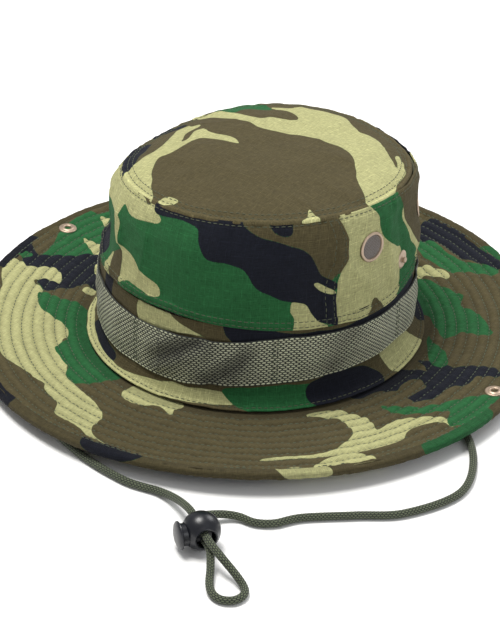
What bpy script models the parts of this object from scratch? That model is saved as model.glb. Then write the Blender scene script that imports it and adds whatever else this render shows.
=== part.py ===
"""A boonie hat with snap-up sides, as an assembly of its sewn and riveted pieces.

Metres, +Z up. The front of the hat points to -Y and the wearer's left side to +X. The hat stands on the
lower edge of its sweatband at z = 0, and its chin cord lies on the same surface. Radii are given across
the width of the hat. Every ring is OVAL longer than that at the front and at the back.
"""

import math

import bmesh
import bpy
from mathutils import Matrix, Vector

MM = 0.001

# Head opening and sweatband
HEAD_HALF_WIDTH = 90.8 * MM
OVAL = 4.0 * MM
SWEATBAND_THICK = 1.3 * MM
SWEATBAND_TALL = 36.0 * MM
GAP = 0.3 * MM

# Crown
CLOTH = 0.9 * MM
WELT_HEIGHT = 62.0 * MM
WELT_OVERLAP = 5.5 * MM
CROWN_HEIGHT = 117.5 * MM
DOME = 10.0 * MM
TOP_LEAN = 0.05
FRONT_PANEL_HALF_ANGLE = 64.5
SEAM_BINDING_TALL = 6.0 * MM
SEAM_BINDING_THICK = 1.4 * MM

# Webbing round the crown
TAPE_LOW = 21.6 * MM
TAPE_WIDE = 30.6 * MM
TAPE_THICK = 1.4 * MM

# Brim
BRIM_WIDTH = 77.7 * MM
BRIM_TOP = 8.2 * MM
BRIM_PLY = 0.8 * MM
BRIM_CORE = 1.0 * MM
SKIRT_REACH = 7.9 * MM
EDGE_RISE = 3.6 * MM
REAR_RISE = 2.7 * MM
SIDE_DROP = 0.9 * MM
BINDING_WIDE = 8.0 * MM
BINDING_THICK = 0.7 * MM

# Side flaps of the brim, each turning about a line along Y
FOLD_BEYOND_SKIRT = 1.8 * MM
FOLD_GAP = 0.6 * MM
FOLD_AXIS_IN = 4.5 * MM
FOLD_AXIS_UP = 7.8 * MM

# Snaps and vents
SNAP_BACK = 16.0 * MM
SNAP_HEIGHT = 76.2 * MM
SOCKET_FROM_EDGE = 12.4 * MM
SNAP_RADIUS = 5.75 * MM
SNAP_FLANGE = 0.8 * MM
STUD_RADIUS = 1.9 * MM
STUD_LENGTH = 2.6 * MM
BARREL_RADIUS = 2.8 * MM
VENT_SPACING = 31.7 * MM
VENT_HEIGHT = 98.0 * MM
VENT_RADIUS = 9.2 * MM
VENT_OPENING = 6.9 * MM
VENT_BARREL = 7.8 * MM
SCREEN_THICK = 0.4 * MM

# Chin cord and its lock
CORD_RADIUS = 2.25 * MM
CORD_HEIGHT = CORD_RADIUS + 0.1 * MM
CORD_STEP = 5.0 * CORD_RADIUS
TAB_LENGTH = 10.0 * MM
TAB_WIDE = 12.0 * MM
LOCK_CENTRE = Vector((104.0, -200.0, 10.2)) * MM
LOCK_HEADING = -35.0
LOCK_RADIUS = 10.0 * MM
STRAND_SPACING = 4.8 * MM
STRAND_CLEARANCE = 0.35 * MM
PRESS_TRAVEL = 2.5 * MM
PLUNGER_RADIUS = 6.4 * MM
PLUNGER_WALL = 1.0 * MM
CAP_RADIUS = 7.5 * MM
CAP_LENGTH = 3.4 * MM
SPRING_RADIUS = 2.4 * MM
SPRING_WIRE = 0.3 * MM
SPRING_TURNS = 3.5
SPRING_POCKET = 8.7 * MM

# Worked out from the sizes above
TURN_STEPS = 54
SMALL_STEPS = 16
VENT_STEPS = 20
SWEATBAND_RADIUS = HEAD_HALF_WIDTH + SWEATBAND_THICK
WALL_RADIUS = SWEATBAND_RADIUS + GAP + CLOTH
TAPE_RADIUS = WALL_RADIUS + GAP + TAPE_THICK
SKIRT_RADIUS = WALL_RADIUS + SKIRT_REACH
BRIM_INNER = SWEATBAND_RADIUS + 0.5 * MM
BRIM_EDGE = WALL_RADIUS + BRIM_WIDTH
PLY_EDGE = BRIM_EDGE - BINDING_THICK - GAP
BRIM_STACK = 2 * BRIM_PLY + BRIM_CORE + 2 * GAP
FOLD_CUT = SKIRT_RADIUS + FOLD_BEYOND_SKIRT
FOLD_AXIS_X = FOLD_CUT - FOLD_AXIS_IN
FOLD_AXIS_Z = BRIM_TOP + FOLD_AXIS_UP
SOCKET_X = BRIM_EDGE - SOCKET_FROM_EDGE
LEAN_START = 0.78
SIDE_PROFILE = (
    (0.00, 2.1 * MM),
    (0.27, 2.8 * MM),
    (0.45, 3.8 * MM),
    (0.62, 4.4 * MM),
    (LEAN_START, 4.7 * MM),
    (0.885, 5.3 * MM),
    (0.96, 6.8 * MM),
    (1.00, 8.2 * MM),
)
TOP_RADIUS = WALL_RADIUS - SIDE_PROFILE[-1][1] - GAP
TOP_RIM = CROWN_HEIGHT + 0.8 * MM


def clear_scene():
    for obj in list(bpy.data.objects):
        bpy.data.objects.remove(obj, do_unlink=True)
    for old in list(bpy.data.collections):
        bpy.data.collections.remove(old)


def new_collection(name):
    made = bpy.data.collections.new(name)
    bpy.context.scene.collection.children.link(made)
    return made


def new_material(name, colour, roughness, metallic):
    made = bpy.data.materials.new(name)
    made.use_nodes = True
    shader = made.node_tree.nodes["Principled BSDF"]
    shader.inputs["Base Color"].default_value = (*colour, 1.0)
    shader.inputs["Roughness"].default_value = roughness
    shader.inputs["Metallic"].default_value = metallic
    made.diffuse_color = (*colour, 1.0)
    return made


FINISHES = {
    "cloth": ((0.09, 0.20, 0.07), 0.9, 0.0),
    "lining": ((0.10, 0.11, 0.06), 0.95, 0.0),
    "webbing": ((0.36, 0.38, 0.25), 0.9, 0.0),
    "cord": ((0.07, 0.09, 0.04), 0.85, 0.0),
    "brass": ((0.55, 0.40, 0.24), 0.35, 1.0),
    "steel": ((0.45, 0.43, 0.40), 0.4, 1.0),
    "black_plastic": ((0.01, 0.01, 0.012), 0.3, 0.0),
}


def mesh_object(name, mesh, collection, finish):
    obj = bpy.data.objects.new(name, mesh)
    collection.objects.link(obj)
    mesh.materials.clear()
    mesh.materials.append(new_material(name, *FINISHES[finish]))
    return obj


def helper_object(name, mesh):
    obj = bpy.data.objects.new(name, mesh)
    cutters.objects.link(obj)
    obj.hide_render = True
    obj.display_type = "WIRE"
    return obj


def evaluated_mesh(obj):
    """The object's mesh with its modifiers, as new data, and the object removed."""
    bpy.context.view_layer.update()
    graph = bpy.context.evaluated_depsgraph_get()
    mesh = bpy.data.meshes.new_from_object(obj.evaluated_get(graph))
    bpy.data.objects.remove(obj, do_unlink=True)
    return mesh


def turned_mesh(profile, start=0.0, sweep=360.0, steps=TURN_STEPS, closed=False):
    """A profile of (radius, height) points swept round Z, from the angle start, in degrees."""
    a = math.radians(start)
    points = [(r * math.cos(a), r * math.sin(a), z) for r, z in profile]
    edges = [(i, i + 1) for i in range(len(points) - 1)]
    if closed:
        edges.append((len(points) - 1, 0))
    mesh = bpy.data.meshes.new("profile")
    mesh.from_pydata(points, edges, [])
    obj = bpy.data.objects.new("profile", mesh)
    bpy.context.scene.collection.objects.link(obj)
    screw = obj.modifiers.new("turn", "SCREW")
    screw.axis = "Z"
    screw.angle = math.radians(sweep)
    screw.steps = steps
    screw.render_steps = steps
    screw.use_merge_vertices = True
    screw.merge_threshold = 1e-6
    return evaluated_mesh(obj)


def face_out(mesh):
    """Turns an open sheet's faces so that they look away from the axis and up."""
    work = bmesh.new()
    work.from_mesh(mesh)
    bmesh.ops.recalc_face_normals(work, faces=work.faces)
    total = 0.0
    for face in work.faces:
        middle = face.calc_center_median()
        away = Vector((middle.x, middle.y, 0.0)).normalized() + Vector((0.0, 0.0, 1.0))
        total += face.normal.dot(away) * face.calc_area()
    if total < 0:
        bmesh.ops.reverse_faces(work, faces=work.faces)
    work.to_mesh(mesh)
    work.free()


def oval_point(point):
    radius = max(math.hypot(point.x, point.y), TOP_RADIUS)
    return Vector((point.x, point.y * (1 + OVAL / radius), point.z))


def lean_point(point):
    """The crown's top seam sits higher at the front than at the back."""
    span = CROWN_HEIGHT - WELT_HEIGHT
    share = ((point.z - WELT_HEIGHT) / span - LEAN_START) / (1 - LEAN_START)
    share = min(max(share, 0.0), 1.0)
    weight = share * share * (3 - 2 * share)
    return Vector((point.x, point.y, point.z - TOP_LEAN * weight * point.y))


def brim_rise(point):
    """How far the brim's top surface stands above its flat inner margin at this place."""
    radius = math.hypot(point.x, point.y)
    turn = math.atan2(point.y, point.x)
    rise = EDGE_RISE + REAR_RISE * math.sin(turn) - SIDE_DROP * math.cos(2 * turn)
    return rise * max(radius - SKIRT_RADIUS, 0.0) / (BRIM_EDGE - SKIRT_RADIUS)


def crown_shape(point):
    return lean_point(oval_point(point))


def brim_shape(point):
    return oval_point(point + Vector((0.0, 0.0, BRIM_TOP + brim_rise(point))))


def shape_mesh(mesh, rule):
    for vertex in mesh.vertices:
        vertex.co = rule(vertex.co)
    mesh.update()


def keep_side(mesh, point, direction):
    """Cuts an open sheet by the plane at this point and keeps the side that direction points to."""
    work = bmesh.new()
    work.from_mesh(mesh)
    geometry = [*work.verts, *work.edges, *work.faces]
    bmesh.ops.bisect_plane(
        work, geom=geometry, dist=1e-6, plane_co=point, plane_no=direction, clear_inner=True
    )
    work.to_mesh(mesh)
    work.free()


def keep_middle(mesh):
    """Leaves the part of a brim sheet between the two folds."""
    keep_side(mesh, (FOLD_CUT, 0.0, 0.0), (-1.0, 0.0, 0.0))
    keep_side(mesh, (-FOLD_CUT, 0.0, 0.0), (1.0, 0.0, 0.0))


def keep_flap(mesh, side):
    """Leaves the part of a brim sheet that one side flap takes. side is +1 or -1."""
    keep_side(mesh, (side * (FOLD_CUT + FOLD_GAP), 0.0, 0.0), (side, 0.0, 0.0))


def sheet(name, mesh, rule, thick, finish):
    """A sewn piece: an open sheet, bent by its rule and thickened inwards."""
    shape_mesh(mesh, rule)
    face_out(mesh)
    obj = mesh_object(name, mesh, hat, finish)
    solidify = obj.modifiers.new("thickness", "SOLIDIFY")
    solidify.thickness = thick
    solidify.offset = -1.0
    solidify.use_even_offset = True
    mesh.shade_smooth()
    mesh.set_sharp_from_angle(angle=math.radians(40))
    return obj


def seat_matrix(point, axis):
    """The place of a turned piece whose own Z lies along axis at this point."""
    return Matrix.Translation(point) @ Vector(axis).to_track_quat("Z", "Y").to_matrix().to_4x4()


def turned_piece(name, profile, place, finish, steps=SMALL_STEPS):
    mesh = turned_mesh(profile, steps=steps, closed=profile[0][0] > 0)
    work = bmesh.new()
    work.from_mesh(mesh)
    bmesh.ops.recalc_face_normals(work, faces=work.faces)
    work.to_mesh(mesh)
    work.free()
    obj = mesh_object(name, mesh, hat, finish)
    obj.matrix_world = place
    mesh.shade_smooth()
    mesh.set_sharp_from_angle(angle=math.radians(35))
    return obj


def box_mesh(size):
    mesh = bpy.data.meshes.new("box")
    work = bmesh.new()
    bmesh.ops.create_cube(work, size=1.0, matrix=Matrix.Diagonal((*size, 1.0)))
    work.to_mesh(mesh)
    work.free()
    return mesh


def round_cutter(name, radius, length, place, steps=SMALL_STEPS):
    mesh = bpy.data.meshes.new(name)
    work = bmesh.new()
    bmesh.ops.create_cone(
        work, cap_ends=True, segments=steps, radius1=radius, radius2=radius, depth=length
    )
    work.to_mesh(mesh)
    work.free()
    obj = helper_object(name, mesh)
    obj.matrix_world = place
    return obj


def cut(obj, cutter):
    boolean = obj.modifiers.new(cutter.name, "BOOLEAN")
    boolean.operation = "DIFFERENCE"
    boolean.solver = "EXACT"
    boolean.object = cutter


def side_inset(share):
    for (low, inset), (high, next_inset) in zip(SIDE_PROFILE, SIDE_PROFILE[1:]):
        if share <= high:
            return inset + (next_inset - inset) * (share - low) / (high - low)
    return SIDE_PROFILE[-1][1]


def crown_seat(side, y, z):
    """A point on the crown's side cloth and the direction out of it. side is +1 or -1."""
    span = CROWN_HEIGHT - WELT_HEIGHT
    radius = WALL_RADIUS - side_inset((z - WELT_HEIGHT) / span)
    above = WALL_RADIUS - side_inset((z + MM - WELT_HEIGHT) / span)
    turn = math.asin(y / (radius + OVAL))
    x = side * radius * math.cos(turn)
    normal = Vector((x / radius**2, y / (radius + OVAL) ** 2, 0.0)).normalized()
    normal.z = -(above - radius) / MM
    return Vector((x, y, z)), normal.normalized()


def crown_top():
    shares = (1.0, 0.93, 0.78, 0.5, 0.0)
    profile = [(TOP_RADIUS * s, TOP_RIM + DOME * (1 - s**3)) for s in shares]
    sheet("crown_top", turned_mesh(profile), crown_shape, CLOTH, "cloth")


def crown_sides():
    span = CROWN_HEIGHT - WELT_HEIGHT
    rows = [(WALL_RADIUS - inset, WELT_HEIGHT + share * span) for share, inset in SIDE_PROFILE]
    profile = [(rows[0][0], WELT_HEIGHT - WELT_OVERLAP), *rows]
    seam_angle = math.degrees(GAP / WALL_RADIUS)
    front = 2 * FRONT_PANEL_HALF_ANGLE
    front_steps = round(TURN_STEPS * front / 360)
    start = -90 - FRONT_PANEL_HALF_ANGLE
    front_mesh = turned_mesh(profile, start, front, front_steps)
    rear = 360 - front - 2 * seam_angle
    rear_mesh = turned_mesh(profile, start + front + seam_angle, rear, TURN_STEPS - front_steps)
    return (
        sheet("crown_side_front", front_mesh, crown_shape, CLOTH, "cloth"),
        sheet("crown_side_rear", rear_mesh, crown_shape, CLOTH, "cloth"),
    )


def crown_seam_binding():
    top = TOP_RIM - CLOTH - GAP - 0.2 * MM
    radius = TOP_RADIUS - 0.7 * MM
    profile = [(radius, top), (radius - 0.2 * MM, top - SEAM_BINDING_TALL)]
    sheet("crown_seam_binding", turned_mesh(profile), crown_shape, SEAM_BINDING_THICK, "lining")


def crown_base_band():
    wall = WALL_RADIUS
    profile = [
        (wall - SIDE_PROFILE[0][1] + CLOTH + GAP, WELT_HEIGHT),
        (wall - 0.7 * MM, WELT_HEIGHT - 3.0 * MM),
        (wall, WELT_HEIGHT - 7.0 * MM),
        (wall, TAPE_LOW),
        (wall + 0.09 * SKIRT_REACH, BRIM_TOP + 8.3 * MM),
        (wall + 0.40 * SKIRT_REACH, BRIM_TOP + 3.8 * MM),
        (SKIRT_RADIUS, BRIM_TOP + CLOTH + GAP + 0.15 * MM),
    ]
    sheet("crown_base_band", turned_mesh(profile), oval_point, CLOTH, "cloth")


def branch_loop_tape():
    profile = [(TAPE_RADIUS, TAPE_LOW + TAPE_WIDE), (TAPE_RADIUS, TAPE_LOW)]
    sheet("branch_loop_tape", turned_mesh(profile), oval_point, TAPE_THICK, "webbing")


def sweatband():
    profile = [(SWEATBAND_RADIUS, SWEATBAND_TALL), (SWEATBAND_RADIUS, 0.0)]
    sheet("sweatband", turned_mesh(profile), oval_point, SWEATBAND_THICK, "lining")


def brim_layer(name, depth, thick, finish):
    """One layer of the brim, in its middle part and its two side flaps. depth is below the top surface."""
    shares = (0.0, 0.33, 0.67, 1.0)
    profile = [(SKIRT_RADIUS + s * (PLY_EDGE - SKIRT_RADIUS), -depth) for s in shares]
    profile.insert(0, (BRIM_INNER, -depth))
    middle = turned_mesh(profile)
    keep_middle(middle)
    sheet(f"{name}_middle", middle, brim_shape, thick, finish)
    flaps = {}
    for side, word in ((1, "right"), (-1, "left")):
        mesh = turned_mesh(profile)
        keep_flap(mesh, side)
        flaps[side] = sheet(f"{name}_{word}", mesh, brim_shape, thick, finish)
    return flaps


def brim_binding():
    """The folded strip sewn over the brim's edge, a channel in four lengths."""
    inner = BRIM_EDGE - BINDING_WIDE
    top = GAP + BINDING_THICK
    low = -BRIM_STACK - GAP - BINDING_THICK
    corner = 0.45 * MM
    profile = [
        (inner, top),
        (BRIM_EDGE - corner, top),
        (BRIM_EDGE, top - corner),
        (BRIM_EDGE, low + corner),
        (BRIM_EDGE - corner, low),
        (inner, low),
    ]
    for sign, word in ((-1, "front"), (1, "rear")):
        mesh = turned_mesh(profile)
        keep_middle(mesh)
        keep_side(mesh, (0.0, 0.0, 0.0), (0.0, sign, 0.0))
        sheet(f"brim_binding_{word}", mesh, brim_shape, BINDING_THICK, "cloth")
    flaps = {}
    for side, word in ((1, "right"), (-1, "left")):
        mesh = turned_mesh(profile)
        keep_flap(mesh, side)
        flaps[side] = sheet(f"brim_binding_{word}", mesh, brim_shape, BINDING_THICK, "cloth")
    return flaps


def socket_seat(side):
    """The socket's place on the brim's top surface, and the direction out of it."""
    point = Vector((side * SOCKET_X, SNAP_BACK, 0.0))
    step = Vector((side * MM, 0.0, 0.0))
    height = BRIM_TOP + brim_rise(point)
    slope = (brim_rise(point + step) - brim_rise(point)) / MM
    along = (brim_rise(point + Vector((0.0, MM, 0.0))) - brim_rise(point)) / MM
    return point + Vector((0.0, 0.0, height)), Vector((-side * slope, -along, 1.0)).normalized()


def snap_socket(side, word, layers):
    point, normal = socket_seat(side)
    place = seat_matrix(point, normal)
    hole = round_cutter(f"socket_hole_{word}", BARREL_RADIUS + GAP, 6 * BRIM_STACK, place)
    for layer in layers:
        cut(layer, hole)
    low = BINDING_THICK + 2 * GAP
    high = low + SNAP_FLANGE
    opening = BARREL_RADIUS - 0.5 * MM
    foot = -BRIM_STACK - BINDING_THICK - 2 * GAP
    ring = [
        (opening, high - 0.1 * MM),
        (opening + 0.4 * MM, high + 0.25 * MM),
        (SNAP_RADIUS - 1.4 * MM, high + 0.25 * MM),
        (SNAP_RADIUS, low + 0.25 * MM),
        (SNAP_RADIUS, low),
        (BARREL_RADIUS, low),
        (BARREL_RADIUS, foot),
        (opening, foot),
    ]
    cap = [
        (0.0, foot - GAP - 1.1 * SNAP_FLANGE),
        (SNAP_RADIUS - 1.2 * MM, foot - GAP - 1.1 * SNAP_FLANGE),
        (SNAP_RADIUS, foot - GAP - 0.4 * SNAP_FLANGE),
        (SNAP_RADIUS, foot - GAP),
        (0.0, foot - GAP),
    ]
    return (
        turned_piece(f"snap_socket_{word}", ring, place, "brass"),
        turned_piece(f"snap_socket_cap_{word}", cap, place, "brass"),
    )


def snap_stud(side, word, panel):
    point, normal = crown_seat(side, SNAP_BACK, SNAP_HEIGHT)
    place = seat_matrix(point, normal)
    hole = round_cutter(f"stud_hole_{word}", BARREL_RADIUS + GAP, 8 * CLOTH, place)
    cut(panel, hole)
    sag = SNAP_RADIUS**2 / (2 * WALL_RADIUS)
    back = -CLOTH - sag - GAP
    flange = GAP + SNAP_FLANGE
    tip = flange + STUD_LENGTH
    stud = [
        (0.0, tip),
        (STUD_RADIUS - 0.5 * MM, tip),
        (STUD_RADIUS, tip - 0.5 * MM),
        (STUD_RADIUS, tip - 1.1 * MM),
        (STUD_RADIUS - 0.4 * MM, tip - 1.6 * MM),
        (STUD_RADIUS - 0.4 * MM, flange),
        (SNAP_RADIUS - 1.2 * MM, flange),
        (SNAP_RADIUS, GAP + 0.3 * MM),
        (SNAP_RADIUS, GAP),
        (BARREL_RADIUS, GAP),
        (BARREL_RADIUS, back + GAP),
        (0.0, back + GAP),
    ]
    washer = [
        (0.0, back),
        (SNAP_RADIUS, back),
        (SNAP_RADIUS, back - 0.5 * SNAP_FLANGE),
        (SNAP_RADIUS - MM, back - SNAP_FLANGE),
        (0.0, back - SNAP_FLANGE),
    ]
    turned_piece(f"snap_stud_{word}", stud, place, "brass")
    turned_piece(f"snap_stud_washer_{word}", washer, place, "steel")


def vent(side, y, word, panel):
    point, normal = crown_seat(side, y, VENT_HEIGHT)
    place = seat_matrix(point, normal)
    cut(panel, round_cutter(f"vent_hole_{word}", VENT_BARREL + GAP, 8 * CLOTH, place, VENT_STEPS))
    sag = VENT_RADIUS**2 / (2 * WALL_RADIUS)
    back = -CLOTH - sag - GAP - 0.1 * MM
    inner = VENT_BARREL - 0.6 * MM
    ring = [
        (VENT_OPENING, GAP + 0.5 * MM),
        (VENT_OPENING + 0.5 * MM, GAP + 0.95 * MM),
        (VENT_RADIUS - 0.9 * MM, GAP + 0.95 * MM),
        (VENT_RADIUS, GAP + 0.35 * MM),
        (VENT_RADIUS, GAP),
        (VENT_BARREL, GAP),
        (VENT_BARREL, back - 0.9 * MM),
        (inner, back - 0.9 * MM),
        (inner, GAP),
        (VENT_OPENING, GAP),
    ]
    screen = [
        (0.0, 0.0),
        (inner - GAP, 0.0),
        (inner - GAP, -SCREEN_THICK),
        (0.0, -SCREEN_THICK),
    ]
    washer = [
        (VENT_BARREL + GAP, back),
        (VENT_RADIUS + 0.4 * MM, back),
        (VENT_RADIUS + 0.4 * MM, back - 0.4 * MM),
        (VENT_RADIUS - 0.2 * MM, back - 0.8 * MM),
        (VENT_BARREL + GAP, back - 0.8 * MM),
    ]
    turned_piece(f"vent_ring_{word}", ring, place, "brass", VENT_STEPS)
    turned_piece(f"vent_screen_{word}", screen, place, "steel", VENT_STEPS)
    turned_piece(f"vent_washer_{word}", washer, place, "brass", VENT_STEPS)


def cord_tab(side, word):
    """The stitched tab that holds one end of the chin cord, beside the sweatband and under the brim."""
    low = 0.35 * MM
    high = BRIM_TOP - BRIM_STACK - GAP
    start = SWEATBAND_RADIUS + GAP
    name = f"chin_cord_tab_{word}"
    obj = mesh_object(name, box_mesh((TAB_LENGTH, TAB_WIDE, high - low)), hat, "webbing")
    obj.location = (side * (start + TAB_LENGTH / 2), 0.0, (low + high) / 2)
    bevel = obj.modifiers.new("edges", "BEVEL")
    bevel.width = 0.5 * MM
    bevel.segments = 2


def lock_point(along, aside, up):
    """A point near the cord lock: along the cord, towards the plunger's button, and above its centre."""
    turn = math.radians(LOCK_HEADING)
    forward = Vector((math.cos(turn), math.sin(turn), 0.0))
    button = Vector((math.sin(turn), -math.cos(turn), 0.0))
    return LOCK_CENTRE + forward * along + button * aside + Vector((0.0, 0.0, up))


def lock_frame():
    """Own X along the cord, own Y towards the button, own Z down, at the lock's centre."""
    turn = Matrix.Rotation(math.radians(LOCK_HEADING), 4, "Z")
    return Matrix.Translation(LOCK_CENTRE) @ turn @ Matrix.Rotation(math.pi, 4, "X")


def slot_cutter(name, low, high):
    """A slot along the cord that clears both strands. low and high are its limits across."""
    tall = STRAND_SPACING + 2 * (CORD_RADIUS + STRAND_CLEARANCE)
    obj = helper_object(name, box_mesh((4 * LOCK_RADIUS, high - low, tall)))
    obj.matrix_world = lock_frame() @ Matrix.Translation((0.0, (low + high) / 2, 0.0))
    return obj


def cord_lock():
    place = lock_frame()
    half_slot = CORD_RADIUS + STRAND_CLEARANCE
    inner_end = -half_slot - GAP - PLUNGER_WALL
    bore_end = inner_end - PRESS_TRAVEL - 0.1 * MM
    sideways = place @ Matrix.Rotation(-math.pi / 2, 4, "X")

    mesh = bpy.data.meshes.new("cord_lock_body")
    work = bmesh.new()
    bmesh.ops.create_uvsphere(work, u_segments=24, v_segments=14, radius=LOCK_RADIUS)
    work.to_mesh(mesh)
    work.free()
    body = mesh_object("cord_lock_body", mesh, hat, "black_plastic")
    body.matrix_world = place
    mesh.shade_smooth()
    cut(body, slot_cutter("lock_cord_hole", -half_slot, half_slot))
    reach = 2 * LOCK_RADIUS
    middle = Matrix.Translation((0.0, 0.0, bore_end + reach / 2))
    cut(body, round_cutter("lock_bore", PLUNGER_RADIUS + GAP, reach, sideways @ middle))
    middle = Matrix.Translation((0.0, 0.0, -SPRING_POCKET + reach / 2))
    cut(body, round_cutter("lock_spring_pocket", SPRING_RADIUS + 0.9 * MM, reach, sideways @ middle))

    cap_start = math.sqrt(LOCK_RADIUS**2 - (PLUNGER_RADIUS + GAP) ** 2) + PRESS_TRAVEL + GAP
    cap_end = cap_start + CAP_LENGTH
    profile = [
        (0.0, cap_end),
        (0.55 * CAP_RADIUS, cap_end - 0.1 * CAP_LENGTH),
        (0.85 * CAP_RADIUS, cap_end - 0.35 * CAP_LENGTH),
        (CAP_RADIUS, cap_end - 0.7 * CAP_LENGTH),
        (CAP_RADIUS, cap_start),
        (PLUNGER_RADIUS, cap_start),
        (PLUNGER_RADIUS, inner_end),
        (0.0, inner_end),
    ]
    plunger = turned_piece("cord_lock_plunger", profile, sideways, "black_plastic", 24)
    slot = slot_cutter("plunger_slot", -half_slot - GAP, half_slot + PRESS_TRAVEL)
    cut(plunger, slot)

    first = -SPRING_POCKET + SPRING_WIRE + 0.2 * MM
    last = inner_end - SPRING_WIRE - 0.2 * MM
    count = int(SPRING_TURNS * 8) + 1
    points = []
    for i in range(count):
        turn = 2 * math.pi * SPRING_TURNS * i / (count - 1)
        along = first + (last - first) * i / (count - 1)
        points.append((SPRING_RADIUS * math.cos(turn), along, SPRING_RADIUS * math.sin(turn)))
    spring = cord_curve("cord_lock_spring", points, SPRING_WIRE, "steel")
    spring.matrix_world = place


def cord_curve(name, points, radius, finish):
    data = bpy.data.curves.new(name, "CURVE")
    data.dimensions = "3D"
    spline = data.splines.new("POLY")
    spline.points.add(len(points) - 1)
    for place, point in zip(spline.points, points):
        place.co = (*point, 1.0)
    data.bevel_depth = radius
    data.bevel_resolution = 2
    data.use_fill_caps = True
    obj = bpy.data.objects.new(name, data)
    hat.objects.link(obj)
    data.materials.append(new_material(name, *FINISHES[finish]))
    return obj


def smooth_route(points):
    """Points every few diameters along a smooth curve through the route's own points."""
    out = []
    ends = [2 * points[0] - points[1], *points, 2 * points[-1] - points[-2]]
    for before, a, b, after in zip(ends, ends[1:], ends[2:], ends[3:]):
        count = max(round((b - a).length / CORD_STEP), 1)
        for i in range(count):
            t = i / count
            out.append(
                0.5
                * (
                    2 * a
                    + (b - before) * t
                    + (2 * before - 5 * a + 4 * b - after) * t * t
                    + (3 * a - before - 3 * b + after) * t**3
                )
            )
    out.append(points[-1])
    return out


LEFT_STRAND = (
    (-115, -2, 0),
    (-127, -20, 0),
    (-123, -62, 0),
    (-94, -111, 0),
    (-50, -149, 0),
    (-8, -169.5, 0),
    (33, -177.2, 0),
    (57, -174.6, 0.4),
    (72, -179, 4.0),
    (87, -188.4, 9.4),
)
RIGHT_STRAND = (
    (92, -188.2, 4.9),
    (93.6, -181, 3.6),
    (99.3, -172.5, 1.7),
    (106.5, -167.8, 0.5),
    (116, -166.5, 0),
    (125, -160.5, 0),
    (134, -147, 0),
    (156, -127.5, 0),
    (177, -108.5, 0),
    (190.5, -73, 0),
    (177, -37.5, 0),
    (150, -12, 0),
    (115, -2, 0),
)
LOOP = (
    (25, -2.6, 0),
    (36, -7.2, -5.2),
    (44.4, -8.8, -7.85),
    (50.6, -6.2, -7.85),
    (53.2, 0, -7.85),
    (50.6, 6.2, -7.85),
    (44.4, 8.8, -7.85),
    (36, 7.6, -7.6),
    (25, 3.2, -5.4),
)
STRAIGHT = (-10, 2, 14)


def chin_cord():
    """One cord from tab to tab. It passes the lock twice, and its end loop lies beyond the lock."""
    face = SWEATBAND_RADIUS + GAP + TAB_LENGTH + GAP
    half = STRAND_SPACING / 2
    route = [Vector((-face, 0.0, CORD_HEIGHT))]
    route += [Vector((x * MM, y * MM, CORD_HEIGHT + up * MM)) for x, y, up in LEFT_STRAND]
    route += [lock_point(along * MM, 0.0, half) for along in STRAIGHT]
    route += [lock_point(along * MM, aside * MM, up * MM) for along, aside, up in LOOP]
    route += [lock_point(along * MM, 0.0, -half) for along in reversed(STRAIGHT)]
    route += [Vector((x * MM, y * MM, CORD_HEIGHT + up * MM)) for x, y, up in RIGHT_STRAND]
    route.append(Vector((face, 0.0, CORD_HEIGHT)))
    cord_curve("chin_cord", smooth_route(route), CORD_RADIUS, "cord")


def brim():
    upper = brim_layer("brim_upper", 0.0, BRIM_PLY, "cloth")
    core = brim_layer("brim_core", BRIM_PLY + GAP, BRIM_CORE, "lining")
    under = brim_layer("brim_under", BRIM_PLY + BRIM_CORE + 2 * GAP, BRIM_PLY, "cloth")
    binding = brim_binding()
    for side, word in ((1, "right"), (-1, "left")):
        layers = [upper[side], core[side], under[side]]
        snaps = snap_socket(side, word, layers)
        axis = Vector((side * FOLD_AXIS_X, 0.0, FOLD_AXIS_Z))
        hinge = bpy.data.objects.new(f"brim_{word}_fold_axis", None)
        hinge.location = axis
        hat.objects.link(hinge)
        bpy.context.view_layer.update()
        for obj in (*layers, binding[side], *snaps):
            obj.parent = hinge
            obj.matrix_parent_inverse = hinge.matrix_world.inverted()


def crown():
    crown_top()
    front_panel, rear_panel = crown_sides()
    crown_seam_binding()
    crown_base_band()
    branch_loop_tape()
    sweatband()
    for side, word in ((1, "right"), (-1, "left")):
        snap_stud(side, word, rear_panel)
        for y, place in ((SNAP_BACK - VENT_SPACING, "front"), (SNAP_BACK + VENT_SPACING, "rear")):
            vent(side, y, f"{word}_{place}", rear_panel)
        cord_tab(side, word)


clear_scene()
hat = new_collection("boonie_hat")
cutters = new_collection("cutters")
crown()
brim()
cord_lock()
chin_cord()
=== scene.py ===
# %% [markdown]
# # A camouflage boonie hat
# The working parts of the hat are a frame that is already made: crown, brim, snaps, vents and cord lock,
# each where it belongs. This lesson dresses that frame. Cloth gets its drape, print, seams and stitches,
# the webbing gets its weave, and the metal and plastic get their finish.

import math

import bmesh
import bpy
import numpy as np
from mathutils import Matrix, Vector


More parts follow.
